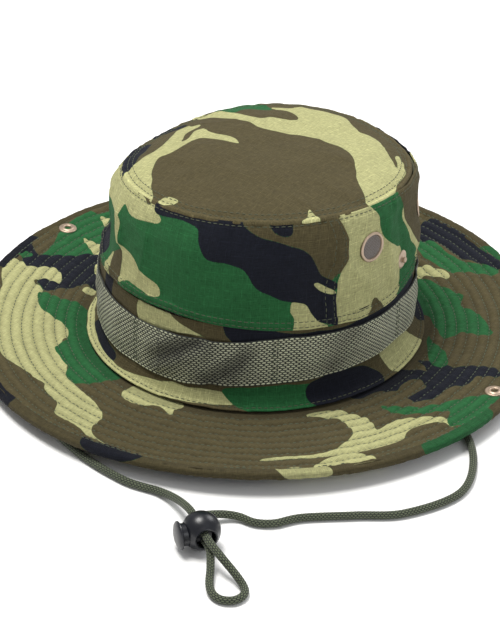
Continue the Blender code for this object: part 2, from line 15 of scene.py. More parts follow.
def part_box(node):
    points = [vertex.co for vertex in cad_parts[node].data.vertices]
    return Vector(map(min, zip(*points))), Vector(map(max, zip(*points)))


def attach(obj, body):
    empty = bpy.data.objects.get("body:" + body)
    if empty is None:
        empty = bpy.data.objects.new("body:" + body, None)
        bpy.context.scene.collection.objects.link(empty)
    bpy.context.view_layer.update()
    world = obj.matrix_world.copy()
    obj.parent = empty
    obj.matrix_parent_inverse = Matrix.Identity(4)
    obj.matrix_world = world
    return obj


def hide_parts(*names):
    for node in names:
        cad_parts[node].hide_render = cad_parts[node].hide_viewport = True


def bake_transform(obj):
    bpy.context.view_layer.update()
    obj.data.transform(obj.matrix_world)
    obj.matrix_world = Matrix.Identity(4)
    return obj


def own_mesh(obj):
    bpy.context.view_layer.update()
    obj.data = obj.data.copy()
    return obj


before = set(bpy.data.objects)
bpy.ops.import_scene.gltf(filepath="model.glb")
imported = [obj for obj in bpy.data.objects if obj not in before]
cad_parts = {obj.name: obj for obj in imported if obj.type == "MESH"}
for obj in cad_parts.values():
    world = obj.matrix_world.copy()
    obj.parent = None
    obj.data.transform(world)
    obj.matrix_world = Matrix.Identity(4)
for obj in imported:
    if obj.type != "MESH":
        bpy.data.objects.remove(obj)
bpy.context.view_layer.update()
MM = 0.001

# %% [markdown]
# ## The camera, the floor and the light
# The hat is seen from its left front, from a little above. A long lens at 1.6 m keeps the brim's oval
# true. The lights are large and soft, as in a product studio: the main one overhead, and weaker ones to
# the right and behind.

# %% Camera
CAMERA_AZIMUTH = math.radians(34.0)
CAMERA_ELEVATION = math.radians(29.6)
CAMERA_DISTANCE = 1.6
CAMERA_ROLL = math.radians(1.85)
HAT_MIDDLE = Vector((0.0, 0.0, 0.0518))
CAMERA_AIM = Vector((0.0072, -0.0171, 0.0197))
back = Vector(
    (
        math.sin(CAMERA_AZIMUTH) * math.cos(CAMERA_ELEVATION),
        -math.cos(CAMERA_AZIMUTH) * math.cos(CAMERA_ELEVATION),
        math.sin(CAMERA_ELEVATION),
    )
)
camera = bpy.data.objects.new("camera", bpy.data.cameras.new("camera"))
bpy.context.scene.collection.objects.link(camera)
place = HAT_MIDDLE + back * CAMERA_DISTANCE
facing = (place - CAMERA_AIM).to_track_quat("Z", "Y").to_matrix().to_4x4()
camera.matrix_world = Matrix.Translation(place) @ facing @ Matrix.Rotation(CAMERA_ROLL, 4, "Z")
camera.data.sensor_width = 36.0
camera.data.lens = 149.7
camera.data.clip_end = 20.0
bpy.context.scene.camera = camera
bpy.context.scene.view_settings.view_transform = "Standard"


# %% Floor, lights and world
def plain_material(name, colour, roughness):
    made = bpy.data.materials.new(name)
    made.use_nodes = True
    shader = made.node_tree.nodes["Principled BSDF"]
    shader.inputs["Base Color"].default_value = (*colour, 1.0)
    shader.inputs["Roughness"].default_value = roughness
    return made


def soft_light(name, place, aim, size, power, colour):
    lamp = bpy.data.lights.new(name, "AREA")
    lamp.shape = "DISK"
    lamp.size = size
    lamp.energy = power
    lamp.color = colour
    obj = bpy.data.objects.new(name, lamp)
    bpy.context.scene.collection.objects.link(obj)
    turn = (Vector(place) - Vector(aim)).to_track_quat("Z", "Y").to_matrix().to_4x4()
    obj.matrix_world = Matrix.Translation(place) @ turn


floor_mesh = bpy.data.meshes.new("floor")
FLOOR_HALF = 6.0
corners = [(-1, -1), (1, -1), (1, 1), (-1, 1)]
floor_mesh.from_pydata([(x * FLOOR_HALF, y * FLOOR_HALF, -0.0002) for x, y in corners], [], [(0, 1, 2, 3)])
floor = bpy.data.objects.new("floor", floor_mesh)
bpy.context.scene.collection.objects.link(floor)
floor_mesh.materials.append(plain_material("floor", (0.97, 0.97, 0.97), 0.9))

soft_light("main_light", (-0.35, -0.15, 1.7), (0, 0, 0.06), 0.8, 30.0, (1.0, 0.985, 0.95))
soft_light("side_light", (1.5, -0.3, 0.9), (0, 0, 0.06), 0.8, 4.0, (0.95, 0.98, 1.0))
soft_light("back_light", (0.3, 1.4, 1.1), (0, 0, 0.06), 0.9, 9.0, (1.0, 1.0, 1.0))
world = bpy.data.worlds.new("studio")
bpy.context.scene.world = world
world.use_nodes = True
world.node_tree.nodes["Background"].inputs["Color"].default_value = (1.0, 1.0, 1.0, 1.0)
world.node_tree.nodes["Background"].inputs["Strength"].default_value = 0.42
print("camera at", [round(x, 3) for x in camera.location])

# %% [markdown]
# ## Tools for numbers
# Every surface here is a grid of points worked out by a rule. A few small functions make the rules easy
# to say: a smooth step, a bump, and a seeded noise that gives cloth its uneven lie. All lengths below are
# in millimetres.


# %% Steps, bumps and noise
def smooth(low, high, x):
    t = np.clip((x - low) / (high - low), 0.0, 1.0)
    return t * t * (3 - 2 * t)


def bump(x, middle, width):
    return np.exp(-(((x - middle) / width) ** 2))


def wrap(degrees):
    return (degrees + 180.0) % 360.0 - 180.0


def stacked(*parts):
    """These numbers as the last axis of one array."""
    return np.stack(np.broadcast_arrays(*parts), axis=-1)


def noise(points, size, seed):
    """Smooth noise from -1 to 1 at each point, whose lumps are about this size."""
    at = np.asarray(points, float) / size
    cell = np.floor(at).astype(np.int64)
    part = at - cell
    part = part * part * (3 - 2 * part)
    total = np.zeros(at.shape[:-1])
    for corner in range(8):
        step = np.array([corner & 1, corner >> 1 & 1, corner >> 2 & 1])
        key = cell + step
        mixed = key[..., 0] * 73856093 ^ key[..., 1] * 19349663 ^ key[..., 2] * 83492791 ^ seed * 2654435
        mixed = (mixed * 1103515245 + 12345) & 0x7FFFFFFF
        mixed = (mixed ^ (mixed >> 13)) * 1274126177 & 0x7FFFFFFF
        weight = np.prod(np.where(step, part, 1 - part), axis=-1)
        total += weight * (mixed / 0x3FFFFFFF - 1.0)
    return total


def normals_of(points):
    """Unit normals of a grid. They point out of a surface whose rows run down and columns round."""
    across = np.gradient(points, axis=1)
    down = np.gradient(points, axis=0)
    normal = np.cross(down, across)
    return normal / np.maximum(np.linalg.norm(normal, axis=-1, keepdims=True), 1e-9)


# %% [markdown]
# A grid of points becomes a mesh with a face between each four neighbours. Numbers that vary over it,
# such as the print's colour fields, go along as attributes, which a material can read. Solidify then
# gives the cloth its thickness, as real cloth has at every hem.


# %% Grids into meshes
def grid_mesh(name, points, fields=None, closed=False):
    rows, columns = points.shape[:2]
    index = np.arange(rows * columns).reshape(rows, columns)
    if closed:
        index = np.concatenate([index, index[:, :1]], axis=1)
    quads = stacked(index[:-1, :-1], index[1:, :-1], index[1:, 1:], index[:-1, 1:])
    mesh = bpy.data.meshes.new(name)
    mesh.from_pydata((points.reshape(-1, 3) * MM).tolist(), [], quads.reshape(-1, 4).tolist())
    for field, values in (fields or {}).items():
        add_field(mesh, field, values)
    mesh.shade_smooth()
    return mesh


def add_field(mesh, field, values):
    values = np.asarray(values, np.float32)
    if values.ndim and values.shape[-1] == 3 and values.ndim > 2:
        kept = mesh.attributes.new(field, "FLOAT_VECTOR", "POINT")
        kept.data.foreach_set("vector", np.ascontiguousarray(values).ravel())
    else:
        kept = mesh.attributes.new(field, "FLOAT", "POINT")
        kept.data.foreach_set("value", np.ascontiguousarray(values).ravel())


def piece(name, mesh, material, body, thick=0.0, replaces=()):
    """Puts a finished mesh in the scene, on its body, in place of the frame's plain nodes."""
    obj = bpy.data.objects.new(name, mesh)
    bpy.context.scene.collection.objects.link(obj)
    mesh.materials.append(material)
    if thick:
        solidify = obj.modifiers.new("thickness", "SOLIDIFY")
        solidify.thickness = thick * MM
        solidify.offset = -1.0
    if body:
        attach(obj, body)
    if replaces:
        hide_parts(*replaces)
    print(f"{name}: {len(mesh.polygons)} faces")
    return obj


# %% [markdown]
# ## The hat's form
# Each sewn surface is a rule that turns two numbers into a point. On the crown they are the angle round
# the head from the front, in degrees, and the height. On the brim they are the same angle and the
# distance out. The widths come from the frame, and the typed heights match it, so that the dress fits.

# %% Sizes from the frame
OVAL = 4.0
FRONT_SEAM = 64.5
TAPE_STAND = 1.7
COLLAR_WIDE = 7.7


def half_width(node):
    """How far a node of the frame reaches to the right, in mm."""
    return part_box(node)[1].x / MM


WALL = half_width("branch_loop_tape") - TAPE_STAND
RIM_RADIUS = half_width("crown_top") + 0.3
RIM_HEIGHT = 117.5
DOME = 10.0
BRIM_EDGE = half_width("brim_binding_right")
COLLAR = WALL + COLLAR_WIDE
print("wall", round(WALL, 1), "rim", round(RIM_RADIUS, 1), "brim edge", round(BRIM_EDGE, 1))

# %% [markdown]
# The crown's side is nearly upright and rounds in under the top seam. Soft cotton that has been worn
# doesn't stand like a tube: it dents at the front left, swells a little at the right rear, and its top
# leans back and slumps at the left. Folds are written as short lines with a width and a height.

# %% The crown's side
SIDE_ROWS = np.array(
    [
        (20.0, 0.0),
        (54.0, 0.0),
        (58.0, 0.5),
        (62.0, 1.3),
        (77.0, 2.2),
        (87.0, 3.0),
        (96.5, 3.7),
        (105.0, 4.3),
        (111.0, 5.2),
        (115.3, 6.7),
        (117.5, 8.3),
    ]
)
FOLD_ARC = 1.6
SIDE_FOLDS = (
    ((-33, 112), (-27, 88), 3.2, 1.5),
    ((-22, 112), (-20, 72), 9.0, -0.9),
    ((88, 112), (92, 66), 4.0, 1.3),
    ((66, 100), (84, 64), 3.0, 1.0),
    ((80, 84), (86, 60), 3.0, 0.7),
    ((96, 110), (100, 70), 4.5, -1.1),
    ((30, 114), (34, 84), 8.0, 0.7),
    ((8, 112), (14, 70), 9.0, 0.9),
    ((-48, 112), (-44, 66), 6.0, 1.3),
    ((-10, 108), (2, 66), 7.0, -0.8),
    ((44, 110), (40, 66), 6.5, -0.9),
    ((52, 88), (70, 64), 5.0, -0.8),
    ((70, 112), (74, 92), 4.0, -0.7),
    ((112, 112), (120, 70), 6.0, 1.0),
    ((150, 112), (158, 72), 8.0, -1.0),
    ((190, 112), (186, 66), 7.0, 1.1),
    ((222, 112), (230, 74), 8.0, -1.0),
    ((262, 112), (258, 70), 7.0, 0.9),
    ((284, 108), (292, 68), 6.0, -0.9),
)


def line_distance(s, z, start, end):
    ax, az = start
    bx, bz = end
    dx, dz = bx - ax, bz - az
    t = np.clip(((s - ax) * dx + (z - az) * dz) / (dx * dx + dz * dz), 0.0, 1.0)
    return np.hypot(s - ax - t * dx, z - az - t * dz)


def lean(x, y, z):
    """The shape of worn cloth: the crown's top leans back and slumps at its left and a little behind."""
    w = smooth(100.0, RIM_HEIGHT, z)
    angle = np.degrees(np.arctan2(x, -y))
    out = np.clip(np.hypot(x, y) / RIM_RADIUS, 0, 1) ** 2
    slump = bump(wrap(angle + 88), 0, 38) + 0.4 * bump(wrap(angle - 150), 0, 30)
    slump = smooth(68.0, RIM_HEIGHT, z) * out * slump
    shrink = 1 - 0.06 * slump
    return stacked(x * shrink + 1.2 * w, y * shrink + 3.8 * w, z + w * (0.047 * x - 0.05 * y) - 5.5 * slump)


def crown_side(angle, z):
    angle = np.asarray(angle, float)
    z = np.asarray(z, float)
    radius = WALL - np.interp(z, SIDE_ROWS[:, 0], SIDE_ROWS[:, 1])
    above = smooth(60.0, 72.0, z)
    radius = radius - 7.5 * bump(wrap(angle + 58), 0, 20) * bump(z, 78, 16) * above
    radius = radius + 2.5 * bump(wrap(angle - 124), 0, 35) * smooth(55, 80, z)
    calm = above * (1 - smooth(104.0, 116.0, z))
    for start, end, width, height in SIDE_FOLDS:
        run = (end[0] - start[0]) * FOLD_ARC
        away = line_distance(wrap(angle - start[0]) * FOLD_ARC, z, (0, start[1]), (run, end[1]))
        radius = radius + height * calm * np.exp(-((away / width) ** 2))
    a = np.radians(angle)
    return lean(radius * np.sin(a), -(radius + OVAL) * np.cos(a), z)


def crown_dome(x, y):
    share = np.clip(np.hypot(x, y / (1 + OVAL / RIM_RADIUS)) / RIM_RADIUS, 0.0, 1.0)
    return lean(x, y, RIM_HEIGHT + DOME * (1 - share**3))


# %% [markdown]
# The brim is several layers quilted together by rings of stitching. Between two rings the cloth puffs up,
# and each ring pulls it down and puckers it. The whole brim also waves a little, as a washed one does.

# %% The brim
BRIM_TOP = 8.2
QUILT_FIRST = 107.5
QUILT_STEP = 6.6
QUILT_ROWS = 9
QUILT_PUFF = 1.25
BRIM_THICK = 3.0
BRIM_WAVES = ((34, 36, 3.4), (-78, 26, 1.4), (-40, 24, -1.2))


def brim_height(angle, radius):
    a = np.radians(angle)
    rise = 3.6 - 2.75 * np.cos(a) + 0.9 * np.cos(2 * a)
    out = np.clip((radius - COLLAR) / (BRIM_EDGE - COLLAR), 0.0, None)
    wave = sum(height * bump(wrap(angle - middle), 0, width) for middle, width, height in BRIM_WAVES)
    return BRIM_TOP + out * rise + out * out * wave


def quilting(angle, radius):
    """Height of the quilted surface over the plain brim."""
    inside = smooth(QUILT_FIRST - 3.0, QUILT_FIRST, radius)
    phase = (radius - QUILT_FIRST) / QUILT_STEP
    puff = np.abs(np.sin(math.pi * phase)) ** 0.75
    a = np.radians(angle)
    flat = stacked(angle * 0.9, phase * 1.3, 0 * angle)
    pucker = noise(flat, 1.9, 5) * 0.42 + noise(flat * (1, 0.5, 1), 0.9, 6) * 0.30
    lie = stacked(radius * np.sin(a), radius * np.cos(a), 0 * radius)
    return inside * (QUILT_PUFF * puff + pucker) + 0.5 * noise(lie, 30.0, 7) * smooth(104, 120, radius)


def brim_point(angle, radius, lift=0.0):
    a = np.radians(angle)
    z = brim_height(angle, radius) + lift
    return stacked(radius * np.sin(a), -(radius + OVAL) * np.cos(a), z)


print("brim height front, side, rear:", [round(float(brim_height(t, BRIM_EDGE)), 1) for t in (0, 90, 180)])

# %% [markdown]
# ## The print
# Woodland camouflage has four inks: a green ground under sand, brown and black patches with smooth, lobed
# edges. A patch is an outline of a few points, rounded into a closed curve. Each point of the cloth keeps
# its signed distance from the nearest patch of each ink, and the material turns that into a sharp printed
# edge, so the pattern is crisp however coarse the mesh is.

# %% Patches and inks
INKS = ("green", "sand", "brown", "black")
CURVE_STEPS = 5


def rounded(outline):
    """A smooth closed curve through the outline's points."""
    points = np.asarray(outline, float)
    before, after, later = np.roll(points, 1, 0), np.roll(points, -1, 0), np.roll(points, -2, 0)
    out = []
    for t in np.arange(CURVE_STEPS) / CURVE_STEPS:
        a = 2 * points + (after - before) * t
        b = (2 * before - 5 * points + 4 * after - later) * t * t
        c = (3 * points - before - 3 * after + later) * t**3
        out.append(0.5 * (a + b + c))
    return np.stack(out, 1).reshape(-1, 2)


def inside_by(points, outline):
    """How far each point lies inside the curve, negative outside it."""
    x, y = points[:, :1], points[:, 1:]
    a = outline
    b = np.roll(outline, -1, 0)
    ax, ay, bx, by = a[:, 0], a[:, 1], b[:, 0], b[:, 1]
    dx, dy = bx - ax, by - ay
    t = np.clip(((x - ax) * dx + (y - ay) * dy) / np.maximum(dx * dx + dy * dy, 1e-9), 0.0, 1.0)
    away = np.sqrt(((x - ax - t * dx) ** 2 + (y - ay - t * dy) ** 2).min(axis=1))
    crosses = ((ay > y) != (by > y)) & (x < (bx - ax) * (y - ay) / np.where(by == ay, 1e-9, by - ay) + ax)
    return np.where(crosses.sum(axis=1) % 2 == 1, away, -away)


def printed(points, ground, patches, stretch=(1.0, 1.0)):
    """The field of each ink at these flat points: positive where that ink shows."""
    flat = np.asarray(points, float).reshape(-1, 2)
    wobble = np.concatenate([flat, flat[:, :1] * 0], axis=1)
    shift = np.stack([noise(wobble, 9.0, 31), noise(wobble, 9.0, 32)], axis=1) * 0.9
    flat = flat + shift
    fields = {ink: np.full(len(flat), 9.0 if ink == ground else -9.0) for ink in INKS}
    for ink, outline in patches:
        curve = rounded(np.asarray(outline, float) * stretch)
        margin = 10.0
        low, high = curve.min(0) - margin, curve.max(0) + margin
        near = ((flat > low) & (flat < high)).all(axis=1)
        signed = np.full(len(flat), -margin)
        if near.any():
            signed[near] = inside_by(flat[near], curve)
        for other in INKS:
            if other == ink:
                fields[other] = np.maximum(fields[other], signed)
            else:
                fields[other] = np.minimum(fields[other], -signed)
    shape = np.asarray(points).shape[:-1]
    return {ink: fields[ink].reshape(shape) for ink in INKS[1:]}


# %% [markdown]
# ## Materials by arithmetic
# A material is a sum of simple ideas: this ink where its field is positive, a little darker here, a
# thread's bump there. Writing it as arithmetic keeps it readable, so a small class stands for a number
# that varies over the surface, and adding two of them adds a Math node.


# %% Values and recipes
class Value:
    """A number that varies over a surface."""

    def __init__(self, recipe, socket):
        self.recipe = recipe
        self.socket = socket

    def math(self, operation, *terms):
        return self.recipe.add("ShaderNodeMath", {"operation": operation}, dict(enumerate(terms)))

    def __add__(self, other):
        return self.math("ADD", self, other)

    def __radd__(self, other):
        return self.math("ADD", other, self)

    def __sub__(self, other):
        return self.math("SUBTRACT", self, other)

    def __rsub__(self, other):
        return self.math("SUBTRACT", other, self)

    def __mul__(self, other):
        return self.math("MULTIPLY", self, other)

    def __rmul__(self, other):
        return self.math("MULTIPLY", other, self)

    def __truediv__(self, other):
        return self.math("DIVIDE", self, other)

    def __pow__(self, other):
        return self.math("POWER", self, other)

    def __abs__(self):
        return self.math("ABSOLUTE", self)

    def clamped(self):
        return self.recipe.add("ShaderNodeClamp", {}, {"Value": self})

    def step(self, low, high):
        """0 below low, 1 above high, smooth between."""
        given = {"Value": self, "From Min": low, "From Max": high}
        return self.recipe.add("ShaderNodeMapRange", {"interpolation_type": "SMOOTHSTEP"}, given)

    def wave(self):
        return self.math("SINE", self)


class Recipe:
    """One material and its nodes."""

    def __init__(self, name, roughness=0.8, metallic=0.0):
        self.material = bpy.data.materials.new(name)
        self.material.use_nodes = True
        self.tree = self.material.node_tree
        self.shader = self.tree.nodes["Principled BSDF"]
        self.shader.inputs["Roughness"].default_value = roughness
        self.shader.inputs["Metallic"].default_value = metallic

    def add(self, kind, settings, values, output=0):
        node = self.tree.nodes.new(kind)
        for key, setting in settings.items():
            setattr(node, key, setting)
        for key, value in values.items():
            if isinstance(value, Value):
                self.tree.links.new(value.socket, node.inputs[key])
            else:
                node.inputs[key].default_value = value
        return Value(self, node.outputs[output])

    def field(self, name, output="Fac"):
        return self.add("ShaderNodeAttribute", {"attribute_name": name}, {}, output)

    def split(self, vector):
        return [self.add("ShaderNodeSeparateXYZ", {}, {0: vector}, i) for i in range(3)]

    def noise(self, vector, scale, detail=2.0, roughness=0.5):
        given = {"Vector": vector, "Scale": scale, "Detail": detail, "Roughness": roughness}
        return self.add("ShaderNodeTexNoise", {}, given)

    def stretched(self, vector, across, up):
        """The vector with its first two parts multiplied, to draw a noise out one way."""
        return self.add("ShaderNodeVectorMath", {"operation": "MULTIPLY"}, {0: vector, 1: (across, up, 1.0)})

    def plain(self, colour):
        return self.mix(0.0, colour, colour)

    def place(self):
        return self.add("ShaderNodeTexCoord", {}, {}, "Object")

    def mix(self, factor, a, b, blend="MIX"):
        def colour(c):
            return c if isinstance(c, Value) else (*c, 1.0)

        settings = {"data_type": "RGBA", "blend_type": blend}
        return self.add("ShaderNodeMix", settings, {0: factor, 6: colour(a), 7: colour(b)}, 2)

    def shade(self, colour, amount):
        """The colour made lighter or darker by this amount around 1."""
        grey = self.add("ShaderNodeCombineColor", {}, {0: amount, 1: amount, 2: amount})
        return self.mix(1.0, colour, grey, "MULTIPLY")

    def send(self, socket, value):
        self.tree.links.new(value.socket, self.shader.inputs[socket])

    def relief(self, height, depth, strength=1.0):
        given = {"Height": height, "Distance": depth * MM, "Strength": strength}
        self.send("Normal", self.add("ShaderNodeBump", {}, given))


# %% [markdown]
# ## The cloth
# Cotton ripstop is a plain weave with a thicker thread every few millimetres each way, which shows as a
# faint square grid. The inks soak in unevenly, and wear lightens the cloth where it stands proud. On the
# quilted brim the same term is painted light on the puffs and painted shade in the stitched grooves. Sheen
# stands for the short fibres that catch light at a grazing angle.

# %% Camouflage cloth
GREEN = (0.019, 0.110, 0.035)
SAND = (0.42, 0.415, 0.20)
BROWN = (0.080, 0.066, 0.031)
BLACK = (0.0085, 0.0100, 0.017)
RIPSTOP = 5.2


def camouflage(name, tone_scale=1.0, grid=1.0):
    recipe = Recipe(name, 0.88)
    cloth = recipe.field("cloth", "Vector")
    u, v, edge = recipe.split(cloth)
    fray = (recipe.noise(cloth, 1.6, 3.0, 0.6) - 0.5) * 0.9
    colour = recipe.plain(GREEN)
    for ink, tint in (("sand", SAND), ("brown", BROWN), ("black", BLACK)):
        colour = recipe.mix((recipe.field(ink) + fray).step(-0.16, 0.16), colour, tint)
    blotch = recipe.noise(cloth, 0.05, 4.0, 0.65)
    slub = recipe.noise(recipe.stretched(cloth, 0.25, 3.0), 0.9).step(0.28, 0.72)
    warp = recipe.noise(recipe.stretched(cloth, 3.0, 0.25), 0.9).step(0.28, 0.72)
    broken = recipe.noise(cloth, 0.45, 2.0).step(0.38, 0.56)
    rib_u = abs((u * (math.pi / RIPSTOP)).wave()).step(0.11, 0.0)
    rib_v = abs((v * (math.pi / RIPSTOP)).wave()).step(0.11, 0.0)
    ribs = (rib_u + rib_v).clamped()
    # The cloth attribute's third part: wear that lightens folded edges, and on the brim painted light on the
    # quilted puffs and painted shade in their grooves.
    wear_and_painted_shade = edge.step(0.0, 1.0)
    tone = 0.44 + 0.30 * blotch + 0.36 * slub + 0.36 * warp + 0.6 * ribs * grid * broken + 0.45 * wear_and_painted_shade
    recipe.send("Base Color", recipe.shade(colour, tone * tone_scale))
    threads = (u * (math.pi / 0.42)).wave() * (v * (math.pi / 0.42)).wave()
    height = threads * 0.25 + ribs * (0.5 * grid) + 0.9 * slub + 0.9 * warp
    recipe.relief(height, 0.16)
    recipe.shader.inputs["Sheen Weight"].default_value = 0.03
    recipe.shader.inputs["Sheen Roughness"].default_value = 0.6
    recipe.shader.inputs["Specular IOR Level"].default_value = 0.12
    return recipe.material


cloth_material = camouflage("camouflage_ripstop")
# The brim's copy of the cloth is made darker overall, to 0.77 of the tone.
brim_material = camouflage("camouflage_quilted", tone_scale=0.77, grid=0.5)


# %% Thread, lining and webbing
def thread(name, colour):
    recipe = Recipe(name, 0.75)
    twist = recipe.noise(recipe.place(), 900.0, 2.0)
    recipe.send("Base Color", recipe.shade(recipe.plain(colour), 0.6 + 0.8 * twist))
    recipe.relief(twist, 0.08)
    return recipe.material


thread_material = thread("olive_thread", (0.075, 0.095, 0.058))
seam_thread_material = thread("seam_thread", (0.075, 0.085, 0.050))


def plain_cloth(name, colour, scale=0.55):
    recipe = Recipe(name, 0.92)
    at = recipe.place()
    x, y, z = recipe.split(at)
    blotch = recipe.noise(at, 60.0, 4.0, 0.65)
    fine = recipe.noise(at, 1400.0, 1.0)
    weave = (x * (math.pi / (scale * MM))).wave() * (z * (math.pi / (scale * MM))).wave()
    recipe.send("Base Color", recipe.shade(recipe.plain(colour), 0.65 + 0.4 * blotch + 0.3 * fine))
    recipe.relief(weave * 0.5 + fine, 0.12)
    recipe.shader.inputs["Sheen Weight"].default_value = 0.1
    return recipe.material


lining_material = plain_cloth("olive_lining", (0.10, 0.105, 0.055))


def staggered(recipe, u, v, pitch_u, pitch_v, half_u, half_v):
    """1 in the middle of each oval of a brick-like pattern, 0 at its edge, and below 0 between the ovals."""
    row = (v * (1 / pitch_v)).math("FLOOR", v * (1 / pitch_v))
    odd = row.math("MODULO", row, 2.0)
    across = u * (1 / pitch_u) + odd * 0.5
    du = (across.math("FRACT", across) - 0.5) * (pitch_u / half_u)
    dv = (v * (1 / pitch_v) - row - 0.5) * (pitch_v / half_v)
    return 1.0 - du * du - dv * dv


def woven_ovals(name, light, dark, pitch_u, pitch_v, fill, depth):
    """Webbing or braid: pale ovals of yarn that stand out of a darker ground."""
    recipe = Recipe(name, 0.8)
    cloth = recipe.field("cloth", "Vector")
    u, v, edge = recipe.split(cloth)
    wander = (recipe.noise(cloth, 0.35, 2.0) - 0.5) * (0.5 * pitch_v)
    oval = staggered(recipe, u + wander, v + wander * 0.3, pitch_u, pitch_v, fill * pitch_u, fill * pitch_v)
    blotch = recipe.noise(cloth, 0.09, 3.0, 0.6)
    fibre = recipe.noise(recipe.stretched(cloth, 1.5, 6.0), 1.0)
    colour = recipe.mix((oval + (fibre - 0.5) * 0.9).step(-0.15, 0.35), dark, light)
    # edge, the cloth attribute's third part, lightens with wear and darkens with the painted crease shade.
    recipe.send("Base Color", recipe.shade(colour, 0.45 + 0.5 * blotch + 0.4 * fibre + 0.5 * edge))
    height = oval.math("MAXIMUM", oval, 0.0).math("SQRT", oval.math("MAXIMUM", oval, 0.0)) + 0.25 * fibre
    recipe.relief(height, depth)
    recipe.shader.inputs["Sheen Weight"].default_value = 0.1
    return recipe.material


WEBBING_PITCH = 3.1
WEBBING_ROW = 1.9
CORD_ROWS = 12
CORD_PITCH = 2.1
# The webbing's dark ground is its darker yarn, deepened to paint the shade in the gaps between the ovals.
webbing_material = woven_ovals(
    "sage_webbing", (0.62, 0.64, 0.45), (0.020, 0.024, 0.018), WEBBING_PITCH, WEBBING_ROW, 0.40, 0.5
)
cord_material = woven_ovals(
    "olive_braid", (0.115, 0.140, 0.078), (0.005, 0.008, 0.005), CORD_PITCH, 1.0, 0.40, 0.22
)


# %% [markdown]
# Snaps and vents are brass under a thin brownish lacquer, which has worn a little on the rims. The cord
# lock is moulded nylon, nearly black, with a soft gloss and the faint dimples of its mould.


# %% Metal and plastic
def metal(name, colour, roughness, metallic=1.0, wear_and_painted_shade=0.3):
    recipe = Recipe(name, roughness, metallic)
    at = recipe.place()
    cloudy = recipe.noise(at, 350.0, 3.0)
    fine = recipe.noise(at, 2600.0, 2.0)
    recipe.send("Base Color", recipe.shade(recipe.plain(colour), 0.8 + wear_and_painted_shade * cloudy + 0.15 * fine))
    recipe.send("Roughness", roughness - 0.12 + 0.3 * cloudy + 0.1 * fine)
    recipe.relief(fine, 0.02)
    return recipe.material


brass_material = metal("lacquered_brass", (0.47, 0.36, 0.27), 0.36, 0.75)
screen_material = metal("screen_wire", (0.42, 0.38, 0.36), 0.42, 0.8)
steel_material = metal("plated_steel", (0.45, 0.43, 0.40), 0.4)
plastic_recipe = Recipe("black_nylon", 0.33)
plastic_dimple = plastic_recipe.noise(plastic_recipe.place(), 900.0, 2.0)
plastic_cloud = plastic_recipe.noise(plastic_recipe.place(), 120.0, 3.0)
nylon = (0.004, 0.005, 0.009)
nylon_colour = plastic_recipe.plain(nylon)
plastic_recipe.send("Base Color", plastic_recipe.shade(nylon_colour, 0.7 + 0.7 * plastic_cloud))
plastic_recipe.send("Roughness", 0.24 + 0.18 * plastic_cloud)
plastic_recipe.relief(plastic_dimple, 0.03)
plastic_recipe.shader.inputs["Coat Weight"].default_value = 0.12
plastic_recipe.shader.inputs["Coat Roughness"].default_value = 0.3
plastic_material = plastic_recipe.material

# %% [markdown]
# ## The chin cord
# The cord is one limp braid. It leaves a tab beside the sweatband on each side, runs out under the brim
# and meets itself in the lock, with a loop beyond it. Its route is a list of places that a hand could lay
# it through, and a smooth curve joins them. The braid is a tube that swells and narrows a little at each
# crossing of its yarns.

# %% The route
CORD_RADIUS = 2.25
CORD_HEIGHT = 2.35
LOCK_CENTRE = np.array([104.0, -200.0, 10.2])
LOCK_HEADING = math.radians(-35.0)
STRAND_HALF_GAP = 2.4
TAB_FACE = 102.7
LEFT_STRAND = (
    (-115, -2, 0),
    (-127, -20, 0),
    (-123, -62, 0),
    (-94, -111, 0),
    (-50, -149, 0),
    (-8, -169.5, 0),
    (33, -177.2, 0),
    (57, -174.6, 0.4),
    (72, -179, 4.0),
    (87, -188.4, 9.4),
)
RIGHT_STRAND = (
    (92, -188.2, 4.9),
    (93.6, -181, 3.6),
    (99.3, -172.5, 1.7),
    (106.5, -167.8, 0.5),
    (116, -166.5, 0),
    (125, -160.5, 0),
    (134, -147, 0),
    (156, -127.5, 0),
    (177, -108.5, 0),
    (190.5, -73, 0),
    (177, -37.5, 0),
    (150, -12, 0),
    (115, -2, 0),
)
LOOP = (
    (25, -2.6, 0),
    (36, -7.2, -5.2),
    (44.4, -8.8, -7.85),
    (50.6, -6.2, -7.85),
    (53.2, 0, -7.85),
    (50.6, 6.2, -7.85),
    (44.4, 8.8, -7.85),
    (36, 7.6, -7.6),
    (25, 3.2, -5.4),
)
STRAIGHT = (-10, 2, 14)
lock_forward = np.array([math.cos(LOCK_HEADING), math.sin(LOCK_HEADING), 0.0])
lock_button = np.array([math.sin(LOCK_HEADING), -math.cos(LOCK_HEADING), 0.0])


def lock_point(along, aside, up):
    return LOCK_CENTRE + lock_forward * along + lock_button * aside + np.array([0.0, 0.0, up])


def smooth_route(points, count):
    points = np.asarray(points, float)
    ends = np.concatenate([[2 * points[0] - points[1]], points, [2 * points[-1] - points[-2]]])
    t = (np.arange(count) / count)[:, None]
    out = []
    for before, a, b, after in zip(ends, ends[1:], ends[2:], ends[3:]):
        c = 2 * before - 5 * a + 4 * b - after
        d = 3 * a - before - 3 * b + after
        out.append(0.5 * (2 * a + (b - before) * t + c * t * t + d * t**3))
    return np.concatenate([*out, points[-1:]])


route = [(-TAB_FACE, 0, CORD_HEIGHT)]
route += [(x, y, CORD_HEIGHT + up) for x, y, up in LEFT_STRAND]
route += [lock_point(along, 0, STRAND_HALF_GAP) for along in STRAIGHT]
route += [lock_point(*place) for place in LOOP]
route += [lock_point(along, 0, -STRAND_HALF_GAP) for along in reversed(STRAIGHT)]
route += [(x, y, CORD_HEIGHT + up) for x, y, up in RIGHT_STRAND]
route.append((TAB_FACE, 0, CORD_HEIGHT))
cord_line = smooth_route(route, 40)
cord_line[:, 2] = np.maximum(cord_line[:, 2], CORD_RADIUS + 0.08)


